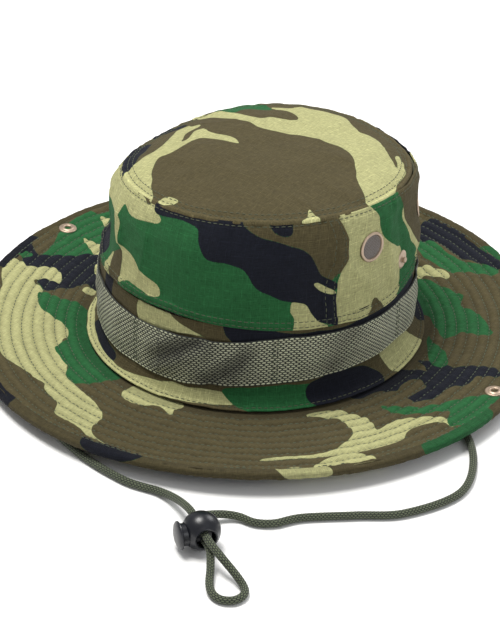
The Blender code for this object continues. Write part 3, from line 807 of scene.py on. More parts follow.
# %% A tube along a line
def even_line(points, step):
    """The line's points again, at even steps."""
    length = np.concatenate([[0], np.cumsum(np.linalg.norm(np.diff(points, axis=0), axis=1))])
    wanted = np.linspace(0, length[-1], max(int(length[-1] / step), 2) + 1)
    return np.stack([np.interp(wanted, length, points[:, i]) for i in range(3)], axis=1), wanted


def carried_frames(points):
    """A side and an up direction at each point, which turn as little as they can along the line."""
    tangent = np.gradient(points, axis=0)
    tangent /= np.linalg.norm(tangent, axis=1, keepdims=True)
    side = np.cross(tangent[0], (0.0, 0.0, 1.0))
    side /= np.linalg.norm(side)
    sides = []
    for t in tangent:
        side = side - t * side.dot(t)
        side /= np.linalg.norm(side)
        sides.append(side)
    sides = np.array(sides)
    return sides, np.cross(sides, tangent), tangent


def tube(points, radius, sides, relief=None):
    """A tube's grid of points, its turn and its length at each, with the relief added to the radius."""
    line, along = points
    side, up, _ = carried_frames(line)
    turn = np.linspace(0, 2 * math.pi, sides + 1)
    grown = radius if relief is None else radius + relief(along[:, None], turn[None, :])
    grown = np.broadcast_to(grown, (len(line), sides + 1))[..., None]
    ring = np.cos(turn)[None, :, None] * side[:, None] + np.sin(turn)[None, :, None] * up[:, None]
    return line[:, None] + ring * grown, turn, along


def braid_relief(along, turn):
    row = turn * CORD_ROWS / (2 * math.pi)
    wave = np.cos(2 * math.pi * along / CORD_PITCH + math.pi * np.floor(row))
    return 0.09 * wave * np.sin(math.pi * row) ** 2 - 0.03


cord_points, cord_turn, cord_along = tube(even_line(cord_line, 0.6), CORD_RADIUS, 24, braid_relief)
cord_cloth = stacked(cord_along[:, None], cord_turn[None] * CORD_ROWS / (2 * math.pi), 0.0)
cord_mesh = grid_mesh("chin_cord_braid", cord_points[:, ::-1], {"cloth": cord_cloth[:, ::-1]})
chin_cord = piece("chin_cord_braid", cord_mesh, cord_material, "hat", replaces=["chin_cord"])

# %% [markdown]
# ## The crown's top
# The top is one oval piece of cloth, domed over the head. It is a disc of rings, so that its rim can roll
# over the seam as a felled seam does. The drape comes from noise in two sizes: broad soft hollows, and
# small wrinkles that gather near the seam, where the stitching has drawn the cloth in.


# %% Wrinkles
def wrinkles(points, broad=0.8, fine=0.35, seed=1):
    crease = (1 - np.abs(noise(points * (1, 1, 0.6), 30.0, seed + 2))) ** 7
    return broad * noise(points, 26.0, seed) + fine * noise(points, 9.0, seed + 1) + 0.75 * crease


def puckers(angle, away, reach, seed, per_turn=150):
    """Small ripples beside a seam. away is the distance from it."""
    a = np.radians(angle)
    ring = per_turn / (2 * math.pi)
    at = stacked(ring * np.cos(a), ring * np.sin(a), away * 0.05)
    return noise(at, 1.0, seed) * np.exp(-((away / reach) ** 2))


# %% The print on the top
TOP_PRINT = (
    ("sand", ((-56, -66), (-57, -50), (-57, -35), (-60, -20), (-66, -6), (-70, 4), (-67.5, 11), (-63, 8.5),
              (-58, 10.5), (-55, 8), (-55, 0), (-54, -8), (-51, -16), (-48.5, -20.5), (-48, -16), (-50, -8),
              (-52, -1), (-50, 3.5), (-47, 2.5), (-43, -0.5), (-36, -1), (-27, -2), (-20, -4.5), (-15, -8),
              (-16, -9), (-24, -9.5), (-34, -10), (-40, -11), (-42.5, -15), (-42.5, -25), (-42, -34),
              (-43, -41), (-45, -46), (-43, -53), (-38, -62), (-31, -72), (-24, -79), (-20, -88),
              (-45, -84))),
    ("sand", ((-78, 38), (-66, 42), (-56, 38), (-46, 35), (-36, 32), (-28, 30.5), (-25, 33), (-23, 37),
              (-17, 39.5), (-12, 42), (-10.5, 46), (-12, 51), (-18, 54), (-26, 56.5), (-31, 55), (-36, 58),
              (-36, 61), (-28, 64), (-25, 70), (-18, 76), (-5, 80), (1, 81), (8, 76), (16, 69), (22, 64),
              (26, 61), (32, 62.5), (38, 61), (44, 57), (50, 50), (56, 45), (62, 39.5), (67, 35), (70, 33),
              (68.5, 36), (65, 41), (61.5, 46.5), (62, 49.5), (66, 46), (71, 40), (76, 34), (79, 27),
              (82, 15), (86, 5), (87, -10), (83, -18), (77, -14), (72, -10.5), (68, -6.5), (62, 2), (56, 9),
              (50, 16), (44, 21), (38, 24), (32, 26), (20, 25), (8, 24.5), (0, 23), (-8, 21.5), (-15, 20),
              (-22, 20), (-30, 22), (-40, 24), (-50, 25.5), (-60, 26.5), (-67, 25.5), (-72, 28),
              (-82, 33))),
    ("green", ((-66, 42), (-75, 50), (-68, 60), (-55, 68), (-42, 61), (-36, 57), (-33, 52), (-40, 49),
               (-47, 44), (-50, 37), (-56, 38))),
    ("green", ((20, 88), (34, 84), (48, 74), (60, 64), (70, 52), (80, 44), (70, 68), (50, 84), (32, 92))),
    ("sand", ((61.5, -47.5), (66, -49), (73, -50.5), (70, -56), (64.5, -59), (64, -54))),
    ("sand", ((-15, -82.5), (-11, -80.5), (-6, -81), (-3.5, -83.5), (-7, -88), (-14, -87))),
    ("black", ((-71, -22), (-66, -32), (-61, -45), (-57, -58), (-56, -68), (-64, -64), (-72, -48),
               (-80, -25))),
    ("black", ((-86, 8), (-76, 16), (-70, 14), (-74, 2), (-84, -8))),
)


# %% The top's cloth
TOP_RINGS = 84
TOP_COLUMNS = 540


def crown_top():
    angle = np.linspace(0.0, 360.0, TOP_COLUMNS + 1)[:-1][None, :]
    share = np.linspace(0.004, 1.0, TOP_RINGS)[:, None]
    radius = RIM_RADIUS * share
    a = np.radians(angle)
    x = radius * np.sin(a)
    y = -(radius + OVAL * share) * np.cos(a)
    points = crown_dome(x, y)
    normal = normals_of(points)
    inward = RIM_RADIUS - radius + 0 * angle
    lift = wrinkles(points, 1.2, 0.4, 11) * smooth(0.0, 12.0, inward)
    lift = lift + 0.45 * puckers(angle, inward - 3.0, 5.0, 12)
    lift = lift + 0.55 * bump(inward, 1.2, 1.3) - 0.45 * bump(inward, 3.4, 0.8)
    points = points + normal * lift[..., None]
    roll = []
    for out, down in ((0.35, 0.5), (0.45, 1.2), (0.1, 1.8), (-1.0, 2.0)):
        grown = 1 + out / RIM_RADIUS
        roll.append(points[-1] * (grown, grown, 1.0) - (0, 0, down))
    points = np.concatenate([points, np.stack(roll)])
    flat = stacked(x, y)
    fields = printed(flat, "brown", TOP_PRINT)
    edge = np.concatenate([0.6 * bump(inward, 1.0, 1.0), np.full((4, TOP_COLUMNS), 0.6)])
    cloth = stacked(x, y, 0 * x)
    cloth = np.concatenate([cloth, np.repeat(cloth[-1:], 4, axis=0)])
    cloth[..., 2] = edge
    fields = {ink: np.concatenate([field, np.repeat(field[-1:], 4, axis=0)]) for ink, field in fields.items()}
    mesh = grid_mesh("crown_top_panel", points, fields | {"cloth": cloth}, closed=True)
    close_centre(mesh, TOP_COLUMNS)
    piece("crown_top_panel", mesh, cloth_material, "hat", 0.8, ["crown_top"])
    return points[:TOP_RINGS]


def close_centre(mesh, count):
    """Joins the smallest ring of a disc into one point."""
    work = bmesh.new()
    work.from_mesh(mesh)
    work.verts.ensure_lookup_table()
    ring = work.verts[:count]
    bmesh.ops.pointmerge(work, verts=ring, merge_co=sum((v.co for v in ring), Vector()) / count)
    work.to_mesh(mesh)
    work.free()
    mesh.shade_smooth()


top_points = crown_top()

# %% [markdown]
# ## The crown's side
# Two panels make the side: a front one and a longer rear one, joined by felled seams with two rows of
# stitches. The seams bow outward near the top. Each panel is a grid from its lower hem up to the top
# seam. The hem stands a little proud of the band below it, because the cloth is turned under there.

# %% Hem and seam lines
HEM = np.array(
    [
        (-180, 61.5),
        (-120, 60),
        (-90, 58),
        (-60, 58.5),
        (-38, 60),
        (-27, 61),
        (-11, 62),
        (3, 62.5),
        (25, 60.5),
        (40, 59),
        (50, 58),
        (63, 57),
        (75, 55),
        (90, 55),
        (100, 57),
        (120, 59),
        (150, 61),
        (180, 61.5),
    ]
)
SEAM_BOW = np.array([(50, 0.0), (84, 0.0), (90, 1.5), (98, 4.5), (107, 4.0), (116, -1.0), (119, -1.5)])
SIDE_ARC = 1.57


def hem_height(angle):
    return np.interp(wrap(angle), HEM[:, 0], HEM[:, 1])


def seam_angle(z):
    return FRONT_SEAM + np.interp(z, SEAM_BOW[:, 0], SEAM_BOW[:, 1])


# %% The print on the side
FRONT_PRINT = (
    ("sand", ((-64, 119), (-66, 104), (-58, 98), (-50, 102), (-38, 103), (-31, 101), (-29, 104), (-27, 110),
              (-23, 108), (-19, 107), (-14, 107.5), (-8, 109), (-6, 111), (-8, 113), (-10, 116), (-12, 122),
              (-40, 124))),
    ("sand", ((-31, 104), (-28, 100), (-27.5, 92), (-28, 86), (-31, 84), (-32.5, 92), (-33, 100))),
    ("brown", ((-24, 122), (-22, 116.5), (-17, 117), (-14, 115), (-12, 122))),
    ("sand", ((-29, 86), (-24, 85.5), (-19, 85), (-14, 82), (-9, 78.5), (-4, 76), (-2.5, 72), (-3, 69),
              (-6, 67.5), (-12, 68), (-18, 68.5), (-21, 66.5), (-23, 64), (-24.5, 66), (-25, 72), (-25, 79),
              (-26, 83))),
    ("brown", ((-31, 56), (-34, 66), (-33, 74), (-30, 79), (-26, 83), (-25, 79), (-25, 70), (-24, 64),
               (-26, 56))),
    ("sand", ((-38, 56), (-38, 66), (-35, 73), (-32, 76), (-33.5, 68), (-31.5, 56))),
    ("black", ((-64, 74), (-56, 80), (-48, 78), (-42, 70), (-46, 62), (-54, 56), (-66, 60))),
    ("brown", ((-66, 96), (-58, 92), (-50, 90), (-44, 84), (-52, 80), (-62, 82), (-70, 88))),
    ("brown", ((22, 124), (27, 116.5), (33, 112), (40, 110), (49, 107), (54, 103), (56.5, 97), (58.5, 91),
               (62, 86), (64.5, 89), (72, 92), (76, 102), (72, 113), (66, 124))),
    ("black", ((-12, 122), (-11, 115.5), (-9, 113), (-5, 113), (0, 114.5), (6, 114.3), (11, 112), (13, 107),
               (17, 101), (24, 99.5), (29, 98.5), (31.5, 94), (34, 88), (38, 82), (43, 77.5), (48, 76),
               (52, 73.5), (55, 67), (58, 61), (63, 58), (66, 54), (72, 50), (80, 52), (75, 62), (72, 69),
               (67, 74.5), (63.5, 77.5), (64.5, 82), (62, 86), (58.5, 91), (56.5, 97), (54, 103), (49, 107),
               (40, 110), (33, 112), (27, 116.5), (24, 122))),
    ("sand", ((56, 85), (57.5, 86), (61, 81), (64, 77), (62, 76.5), (58.5, 80))),
    ("sand", ((48, 76), (52, 73.5), (55, 67), (58, 61), (61, 57), (55, 52), (48, 54), (49, 64),
              (47.5, 70))),
    ("black", ((36, 122), (38, 114.5), (42, 112), (45.5, 112.5), (46, 116), (45, 122))),
)
REAR_PRINT = (
    ("green", ((78, 122), (82, 113), (84, 107), (88, 99), (93, 90), (98, 86), (99.5, 78), (98, 70),
               (97, 62), (95, 52), (112, 52), (117, 62), (111, 75), (106, 85), (103, 95), (99, 105),
               (97, 122))),
    ("brown", ((97, 122), (100, 106), (106, 92), (112, 80), (118, 72), (128, 70), (136, 80), (134, 96),
               (126, 108), (124, 122))),
    ("brown", ((77, 50), (80, 60), (82, 64.5), (84.5, 61), (86, 50))),
    ("black", ((140, 122), (136, 108), (144, 98), (156, 92), (160, 80), (170, 76), (178, 84), (172, 96),
               (166, 108), (170, 122))),
    ("sand", ((150, 88), (142, 78), (130, 66), (124, 52), (150, 50), (162, 62), (164, 74), (158, 84))),
    ("green", ((172, 74), (184, 70), (200, 66), (214, 52), (180, 50), (166, 56))),
    ("brown", ((176, 124), (180, 106), (192, 94), (206, 90), (216, 98), (212, 112), (206, 124))),
    ("black", ((214, 90), (226, 84), (236, 70), (232, 52), (250, 50), (256, 66), (250, 84), (238, 96),
               (224, 98))),
    ("green", ((226, 124), (224, 110), (238, 102), (254, 98), (262, 104), (258, 124))),
    ("brown", ((262, 88), (272, 92), (284, 84), (296, 82), (300, 92), (288, 102), (276, 106), (264, 100))),
    ("green", ((262, 72), (276, 76), (290, 66), (298, 52), (262, 50))),
)


# %% [markdown]
# Vents and snap studs are clamped through the cloth, which lies flat and tight around each of them. Their
# seats are worked out first, on the crown's plain form. A vent needs a hole as well, so that air can pass
# its screen.

# %% Seats of the fittings
FITTING_MIDDLE = 16.0
VENT_SPACING = 31.7
VENT_HEIGHT = 98.0
STUD_HEIGHT = 76.2
VENT_HOLE = 8.3


def crown_seat(side, y, z):
    """The place and the outward direction of the crown at this y and height, on one side."""
    low, high = (20.0, 175.0)
    for _ in range(40):
        middle = (low + high) / 2
        if crown_side(middle * side, z)[..., 1] < y:
            low = middle
        else:
            high = middle
    angles = side * np.array([middle - 4, middle, middle + 4])
    patch = crown_side(angles[None, :], np.array([z + 4, z, z - 4])[:, None])
    facing = side * np.cross(patch[2, 1] - patch[0, 1], patch[1, 2] - patch[1, 0])
    place = crown_side(middle * side, z)
    facing = facing * np.sign(facing.dot(place * (1, 1, 0)))
    return place, facing / np.linalg.norm(facing)


SIDES = {"right": 1, "left": -1}
vent_seats = {}
stud_seats = {}
for side_name, side in SIDES.items():
    vent_seats[f"{side_name}_front"] = crown_seat(side, FITTING_MIDDLE - VENT_SPACING, VENT_HEIGHT)
    vent_seats[f"{side_name}_rear"] = crown_seat(side, FITTING_MIDDLE + VENT_SPACING, VENT_HEIGHT)
    stud_seats[side_name] = crown_seat(side, FITTING_MIDDLE, STUD_HEIGHT)
print("a vent sits at", [round(float(x), 1) for x in vent_seats["right_front"][0]])


def calm_near_fittings(points):
    calm = 1.0
    for place, _ in (*vent_seats.values(), *stud_seats.values()):
        away = np.linalg.norm(points - place, axis=-1)
        calm = calm * smooth(8.5, 17.0, away)
    return calm


def cut_holes(mesh):
    work = bmesh.new()
    work.from_mesh(mesh)
    centres = [Vector(place * MM) for place, _ in vent_seats.values()]
    gone = [v for v in work.verts if any((v.co - c).length < VENT_HOLE * MM for c in centres)]
    bmesh.ops.delete(work, geom=gone, context="VERTS")
    work.to_mesh(mesh)
    work.free()


# %% A side panel
PANEL_ROWS = 84
SEAM_WIDE = 8.0


def side_panel(name, columns, start, end, ground, patches, replaced, lapped):
    """A panel from one seam to the other. start and end are +1 or -1 for a seam, by the side it is on."""
    t = np.linspace(0.0, 1.0, PANEL_ROWS)[:, None]
    middle = start + (end - start) * np.linspace(0, 1, columns)[None, :]
    z = hem_height(middle) + (RIM_HEIGHT + 0.2 - hem_height(middle)) * t
    bow = seam_angle(z) - FRONT_SEAM
    lead = np.linspace(0, 1, columns)[None, :]
    toward_start = np.clip(1 - lead * 4, 0, 1) ** 2
    toward_end = np.clip(1 - (1 - lead) * 4, 0, 1) ** 2
    angle = middle + bow * (toward_end - toward_start) * (1 if lapped else -1)
    points = crown_side(angle, z)
    normal = -normals_of(points)
    above = (z - hem_height(middle)) + 0 * angle
    below_top = RIM_HEIGHT - z + 0 * angle
    arc_start = (lead * (end - start)) * SIDE_ARC + 0 * z
    arc_end = ((1 - lead) * (end - start)) * SIDE_ARC + 0 * z
    seam = np.minimum(arc_start, arc_end)
    lift = wrinkles(points, 1.15, 0.5, 21) * smooth(2.0, 12.0, above) * smooth(0.0, 10.0, below_top)
    lift = lift + 0.6 * puckers(angle, below_top - 2.0, 6.0, 22) + 0.4 * puckers(angle, above - 3.0, 5.0, 23)
    lift = lift + 1.0 * (1 - smooth(4.6, 5.6, above)) * smooth(-0.2, 0.6, above)
    lift = lift - 0.35 * bump(above, 1.6, 0.6) - 0.35 * bump(below_top, 1.7, 0.7)
    along = stacked(z * 0.16, 0 * angle, 0 * angle) + 0 * points
    ripple = noise(along, 0.55, 24) * 0.4 * np.exp(-((seam - 4.0) / 6.0) ** 2)
    if lapped:
        lift = lift + 0.75 * (1 - smooth(SEAM_WIDE - 0.8, SEAM_WIDE + 0.6, seam))
        lift = lift - 0.4 * bump(seam, 1.5, 0.6) - 0.4 * bump(seam, SEAM_WIDE - 1.4, 0.6)
    else:
        lift = lift - 0.5 * (1 - smooth(0.0, 3.0, seam))
    points = points + normal * ((lift + ripple) * calm_near_fittings(points))[..., None]
    flat = stacked(angle * SIDE_ARC, z)
    fields = printed(flat, ground, patches, (SIDE_ARC, 1.0))
    wear_and_painted_shade = 0.5 * bump(above, 0.5, 0.8) + 0.35 * bump(below_top, 0.5, 0.8)
    if lapped:
        wear_and_painted_shade = wear_and_painted_shade + 0.4 * bump(seam, 0.3, 0.6)
    fields["cloth"] = stacked(flat[..., 0], flat[..., 1], wear_and_painted_shade)
    mesh = grid_mesh(name, points[::-1], {k: f[::-1] for k, f in fields.items()})
    cut_holes(mesh)
    piece(name, mesh, cloth_material, "hat", 0.8, replaced)
    return points


front_panel = side_panel(
    "crown_front_panel", 260, -FRONT_SEAM, FRONT_SEAM, "green", FRONT_PRINT, ["crown_side_front"], True
)
rear_panel = side_panel(
    "crown_rear_panel", 440, FRONT_SEAM, 360 - FRONT_SEAM, "sand", REAR_PRINT, ["crown_side_rear"], False
)

# %% [markdown]
# ## The base of the crown
# Below the panels a plain band of the same cloth goes down to the brim and turns out onto it as a narrow
# collar. A wide webbing tape is sewn over the band only at a few places, so it stands off in loops
# between them. Leaves and twigs can be pushed through the loops.


# %% A ring of cloth from a profile
def fine_profile(profile, step):
    """The profile's (radius, height) points at even steps, and the length along it at each."""
    profile = np.asarray(profile, float)
    length = np.concatenate([[0], np.cumsum(np.linalg.norm(np.diff(profile, axis=0), axis=1))])
    at = np.linspace(0, length[-1], int(round(length[-1] / step)) + 1)
    return np.interp(at, length, profile[:, 0]), np.interp(at, length, profile[:, 1]), at


def ring_points(angle, radius, z):
    a = np.radians(angle)
    return stacked(radius * np.sin(a), -(radius + OVAL) * np.cos(a), z)


# %% The band and its collar
BAND_PROFILE = (
    (92.0, 61),
    (92.6, 56),
    (93.0, 52),
    (93.0, 22),
    (93.3, 20),
    (94.4, 16.5),
    (97.0, 12.5),
    (101.3, 10.2),
)
BAND_PRINT = (
    ("black", ((-38, 70), (-30, 70), (-30, 40), (-38, 40))),
    ("brown", ((-60, 70), (-39, 70), (-39, 40), (-60, 40))),
    ("sand", ((-11, 62.5), (2, 62.5), (8, 57), (14, 53), (20, 52), (3, 50), (-8, 47), (-11, 50))),
    ("brown", ((2, 62.5), (10, 63), (20, 61.5), (26, 58), (26, 54), (20, 52), (14, 53), (8, 57))),
    ("black", ((26, 66), (60, 64), (108, 64), (108, 46), (60, 46), (30, 48))),
    ("brown", ((42, 59), (54, 60), (74, 57), (72, 54.5), (50, 55))),
    ("black", ((-46, 18), (-28, 17), (-22, 12), (-30, 4), (-46, 6))),
    ("sand", ((-75, 10), (-48, 12.5), (-20, 10.5), (2, 16), (20, 17), (34, 14), (20, 8.5), (-10, 5),
              (-50, 6.5))),
    ("green", ((24, 18), (38, 22), (60, 20), (64, 8), (52, 2), (34, 6))),
    ("black", ((56, 22), (70, 24), (80, 20), (84, 8), (74, 1), (60, 3), (54, 12))),
    ("sand", ((86, 28), (98, 28), (108, 20), (112, 6), (98, 1), (90, 8), (88, 16))),
    ("black", ((124, 20), (140, 18), (146, 6), (128, 2))),
    ("green", ((150, 18), (180, 16), (196, 4), (160, 2))),
    ("sand", ((216, 18), (240, 16), (250, 6), (222, 4))),
)


def base_band():
    angle = np.arange(0, 360, 0.5)[None, :]
    radius, z, at = (x[:, None] for x in fine_profile(BAND_PROFILE, 0.9))
    points = ring_points(angle, radius, z + 0 * angle)
    normal = normals_of(points)
    lift = 0.35 * noise(points, 16.0, 41) + 0.4 * puckers(angle, at - at[-1] + 3.0, 4.0, 42)
    lift = lift * smooth(0, 8, at) + 0.4 * bump(at, at[-1] - 0.8, 0.9) - 0.4 * bump(at, at[-1] - 2.4, 0.6)
    points = points + normal * lift[..., None]
    flat = stacked(wrap(angle) * SIDE_ARC, 61.0 - at)
    fields = printed(flat, "brown", BAND_PRINT, (SIDE_ARC, 1.0))
    fields["cloth"] = stacked(flat[..., 0], flat[..., 1], 0.5 * bump(at, at[-1] - 0.6, 0.9) + 0 * angle)
    mesh = grid_mesh("crown_band_and_collar", points, fields, closed=True)
    piece("crown_band_and_collar", mesh, cloth_material, "hat", 0.7, ["crown_base_band"])
    return points


band_points = base_band()

# %% The webbing tape
TACKS = (-66.0, -12.0, 42.3, 96.5, 150.5, 204.5, 249.5)
TAPE_TOP = np.array(
    [
        (-180, 52),
        (-60, 52),
        (-38, 52),
        (-11, 49),
        (0, 50),
        (15, 50.5),
        (25, 51),
        (35, 53),
        (48, 54.3),
        (60, 53.5),
        (75, 52),
        (95, 51.5),
        (180, 52),
    ]
)
TAPE_FOOT = np.array(
    [
        (-180, 21.6),
        (-40, 21),
        (-20, 19),
        (10, 19),
        (20, 22),
        (30, 23),
        (60, 25.5),
        (80, 26),
        (95, 26),
        (120, 22),
        (180, 21.6),
    ]
)
TAPE_ARC = 1.66
TAPE_EDGE = ((0.0025, 0.35), (0.0075, 0.1), (0.0125, -0.5))
TAPE_CREASES = (
    ((16, 50), (-6, 27), 3.4, -1.7),
    ((34, 44), (20, 24), 3.2, -1.5),
    ((70, 50), (62, 30), 4.0, -0.9),
    ((120, 50), (132, 28), 4.0, -1.2),
    ((-40, 48), (-50, 28), 4.0, -0.9),
    ((176, 50), (168, 26), 4.0, -1.1),
    ((230, 48), (222, 30), 4.0, -1.1),
)


def webbing_tape():
    angle = np.arange(0, 360, 0.5)[None, :]
    share = np.linspace(0, 1, 64)[:, None]
    top = np.interp(wrap(angle), TAPE_TOP[:, 0], TAPE_TOP[:, 1])
    foot = np.interp(wrap(angle), TAPE_FOOT[:, 0], TAPE_FOOT[:, 1])
    z = top + (foot - top) * share
    nearest = np.min([np.abs(wrap(angle - tack)) for tack in TACKS], axis=0)
    slack = smooth(0.8, 14.0, nearest)
    radius = WALL + 0.35 + 0.95 * slack + 0.9 * slack * np.sin(math.pi * share)
    shadow = 0 * z
    for start, end, width, height in TAPE_CREASES:
        run = (end[0] - start[0]) * TAPE_ARC
        away = line_distance(wrap(angle - start[0]) * TAPE_ARC, z, (0, start[1]), (run, end[1]))
        radius = radius + height * 0.75 * np.exp(-((away / width) ** 2)) * slack
        radius = radius - height * 0.35 * np.exp(-(((away - 2.2 * width) / width) ** 2)) * slack
        # Painted shade: a wide dark band along each crease, darkening the webbing's colour there.
        shadow = shadow + height * 0.8 * np.exp(-((away / (2.9 * width)) ** 2)) * slack
    lie = stacked(angle * TAPE_ARC, z, 0 * z)
    radius = radius + 0.22 * noise(lie, 11.0, 51) + 0.12 * noise(lie, 4.0, 52)
    edge = np.minimum(share, 1 - share) * 31
    radius = radius + 0.28 * bump(edge, 0.5, 0.6)
    points = ring_points(angle, radius, z)
    upper = [points[0] * (1 - inset, 1 - inset, 1) + (0, 0, rise) for inset, rise in reversed(TAPE_EDGE)]
    lower = [points[-1] * (1 - inset, 1 - inset, 1) - (0, 0, rise) for inset, rise in TAPE_EDGE]
    points = np.concatenate([np.stack(upper), points, np.stack(lower)])
    edge_wear = np.full((3, points.shape[1]), 0.4)
    # The tape's tone: wear on its edges plus the painted crease shade.
    wear_and_painted_shade = np.concatenate([edge_wear, 0.4 * bump(edge, 0.3, 0.8) + shadow, edge_wear])
    down = np.concatenate([[0.0] * 3, share[:, 0], [1.0] * 3])[:, None] * 21 * WEBBING_ROW
    cloth = stacked(angle * 1.6576, down, wear_and_painted_shade)
    mesh = grid_mesh("branch_loop_webbing", points, {"cloth": cloth}, closed=True)
    piece("branch_loop_webbing", mesh, webbing_material, "hat", 0.0, ["branch_loop_tape"])
    return points[3:-3]


tape_points = webbing_tape()


# %% The sweatband and the seam tape inside
def inner_ring(name, radius, high, low, replaced, surface=None):
    """A band of lining that faces the head, with a turned edge at its foot."""
    angle = np.arange(0, 360, 0.75)[None, :]
    z = np.linspace(low, high, max(int((high - low) / 1.1), 6))[:, None]
    rise = z - low
    lift = 0.25 * bump(rise, 1.0, 1.0) - 0.3 * bump(rise, 4.5, 0.6)
    if surface is None:
        points = ring_points(angle, radius - lift + 0 * angle, z + 0 * angle)
    else:
        points = surface(angle, z) * (radius, radius, 1.0)
    points = points * (1 - 0.0025 * noise(points, 14.0, 61)[..., None] * (1, 1, 0))
    mesh = grid_mesh(name, points, closed=True)
    return piece(name, mesh, lining_material, "hat", 0.8, [replaced])


inner_ring("sweatband_lining", 91.0, 36.0, 0.1, "sweatband")
inner_ring("crown_seam_tape", 0.972, 115.5, 108.5, "crown_seam_binding", crown_side)

# %% [markdown]
# ## The brim
# The brim's cloth comes in two halves, a right one and a left one. The lower layer lies 3 mm under the
# upper one. A narrow binding wraps the edge.

# %% The print on the brim
BRIM_PRINT = (
    ("green", ((-163, 40), (-160, 10), (-152, -10), (-150, -22), (-135, -22), (-120, -10), (-116, 11),
               (-116, 16), (-131.5, 26.7), (-149, 49), (-156, 42))),
    ("sand", ((-143, 13), (-120, 12), (-123, 2), (-131.5, 4.5))),
    ("sand", ((-151.5, 40), (-143, 42), (-128, 27), (-125, 24), (-134, 20), (-140, 31))),
    ("sand", ((-148, -34), (-136, -27), (-128, -29), (-120.5, -39), (-131.5, -41), (-135, -47), (-123, -52),
              (-121.5, -60), (-116, -67), (-103, -72), (-87, -75.5), (-79, -82), (-77, -93), (-60, -109),
              (-55, -115.5), (-43, -123), (-31.5, -129), (-16, -134.5), (-7, -144.5), (-5, -155.5),
              (2, -162), (13, -166.5), (-20, -160), (-31.5, -156.5), (-37, -146.5), (-51.5, -141),
              (-58, -134.5), (-87, -129), (-103, -120), (-125, -95), (-150, -60), (-165, -42), (-168, -38),
              (-160, -34))),
    ("black", ((-153, -21), (-143, -13), (-136, -9), (-129, 0), (-123, 3), (-116, 0), (-117, -9),
               (-109, -15.5), (-99, -24.5), (-100.5, -31), (-109, -30), (-111.5, -40), (-114, -50),
               (-123, -51), (-134, -45.5), (-131.5, -41), (-121.5, -39), (-126, -31), (-136, -27),
               (-147, -35.5), (-154, -34), (-163, -25.5), (-169, -27), (-171.5, -13), (-163, -15.5))),
    ("green", ((-123, -54), (-109, -52), (-98, -50), (-87, -54), (-78, -64), (-65, -78), (-51.5, -90),
               (-31.5, -96.5), (-25, -99), (-30.5, -111), (-36, -120), (-45, -123), (-53, -119),
               (-58, -111), (-76, -100), (-77, -89), (-80.5, -80), (-91.5, -74.5), (-109, -71),
               (-119, -64.5))),
    ("brown", ((-120.5, -51), (-112.5, -40), (-100.5, -39), (-91.5, -44.5), (-88, -53), (-98, -50),
               (-109, -52))),
    ("sand", ((-106, -34.5), (-104, -31), (-97, -32), (-98, -37), (-104, -38))),
    ("sand", ((-118, -9), (-114, -4.5), (-107, -11), (-109, -17))),
    ("green", ((-166, -27), (-160, -22), (-154, -25), (-158, -29))),
    ("sand", ((-15, -109), (-11.5, -102), (19.5, -101), (20.5, -111), (22, -117), (11, -114.5), (-4, -120),
              (-13, -117))),
    ("sand", ((84, -69), (89.5, -58), (102, -53), (112, -51), (119.5, -54.5), (125, -59), (127, -46.5),
              (135, -35.5), (146, -28), (155, -25.5), (159.5, -31), (150.5, -31), (144, -40), (140.5, -51),
              (143, -59), (142, -66.5), (135, -80), (128.5, -90), (119.5, -100), (108.5, -111),
              (93, -126.5), (94, -123), (113, -103), (118.5, -91), (118.5, -80), (115, -69), (106, -63),
              (97, -64.5))),
    ("sand", ((118.5, -109), (123, -98), (129.5, -89), (137, -87), (144, -88), (139.5, -100), (131, -111),
              (121, -118))),
    ("green", ((113, -35.5), (122, -30), (135, -20), (142, -9), (150.5, 2), (159.5, 12), (164, 14.5),
               (172, 0), (169.5, -13), (167, -20), (157, -31), (148.5, -19), (139.5, -26.5), (124, -38))),
    ("black", ((96, 4.5), (113, 13), (102, 21), (111, 24.5), (124, 27), (135, 34.5), (146, 38), (153, 33),
               (142, 24.5), (142, 15.5), (135, 4.5), (133, -9), (128.5, -18), (120.5, -18), (124, -4.5),
               (115, 2), (111, -7), (111, -15.5), (103, -21), (98.5, -33), (92, -35.5), (96, -15.5))),
    ("green", ((93, 49), (99.5, 44.5), (111, 38), (119.5, 27), (115, 21), (106, 27))),
    ("green", ((53, 102), (68.5, 103), (86, 100), (91, 91), (104, 87), (117, 78), (126, 71), (117, 64.5),
               (108.5, 62), (103, 52), (91, 60), (79.5, 69), (66, 71), (59.5, 82))),
    ("sand", ((48.5, 118), (62, 118), (68.5, 113), (55, 107), (53, 101), (46, 109))),
    ("green", ((28.5, 138), (39.5, 143), (55, 135.5), (75, 135.5), (88.5, 138), (91, 129), (75, 124.5),
               (64, 119), (46, 124.5), (35, 129))),
    ("black", ((26, 171), (46, 169), (59.5, 155.5), (82, 147), (91, 138), (73, 137), (55, 139), (42, 144.5),
               (28.5, 140), (19.5, 155.5))),
    ("sand", ((-30, 150), (-10, 160), (8, 150), (4, 132), (-16, 120), (-34, 116), (-44, 128))),
    ("green", ((-40, 110), (-60, 120), (-86, 112), (-100, 92), (-92, 76), (-74, 84), (-60, 96))),
    ("black", ((-60, 158), (-40, 148), (-62, 134), (-88, 130), (-100, 140), (-84, 152))),
    ("sand", ((-100, 120), (-116, 116), (-134, 98), (-146, 76), (-132, 72), (-118, 88), (-106, 98))),
    ("black", ((-96, 66), (-112, 76), (-124, 62), (-140, 58), (-134, 46), (-112, 44), (-98, 50))),
)
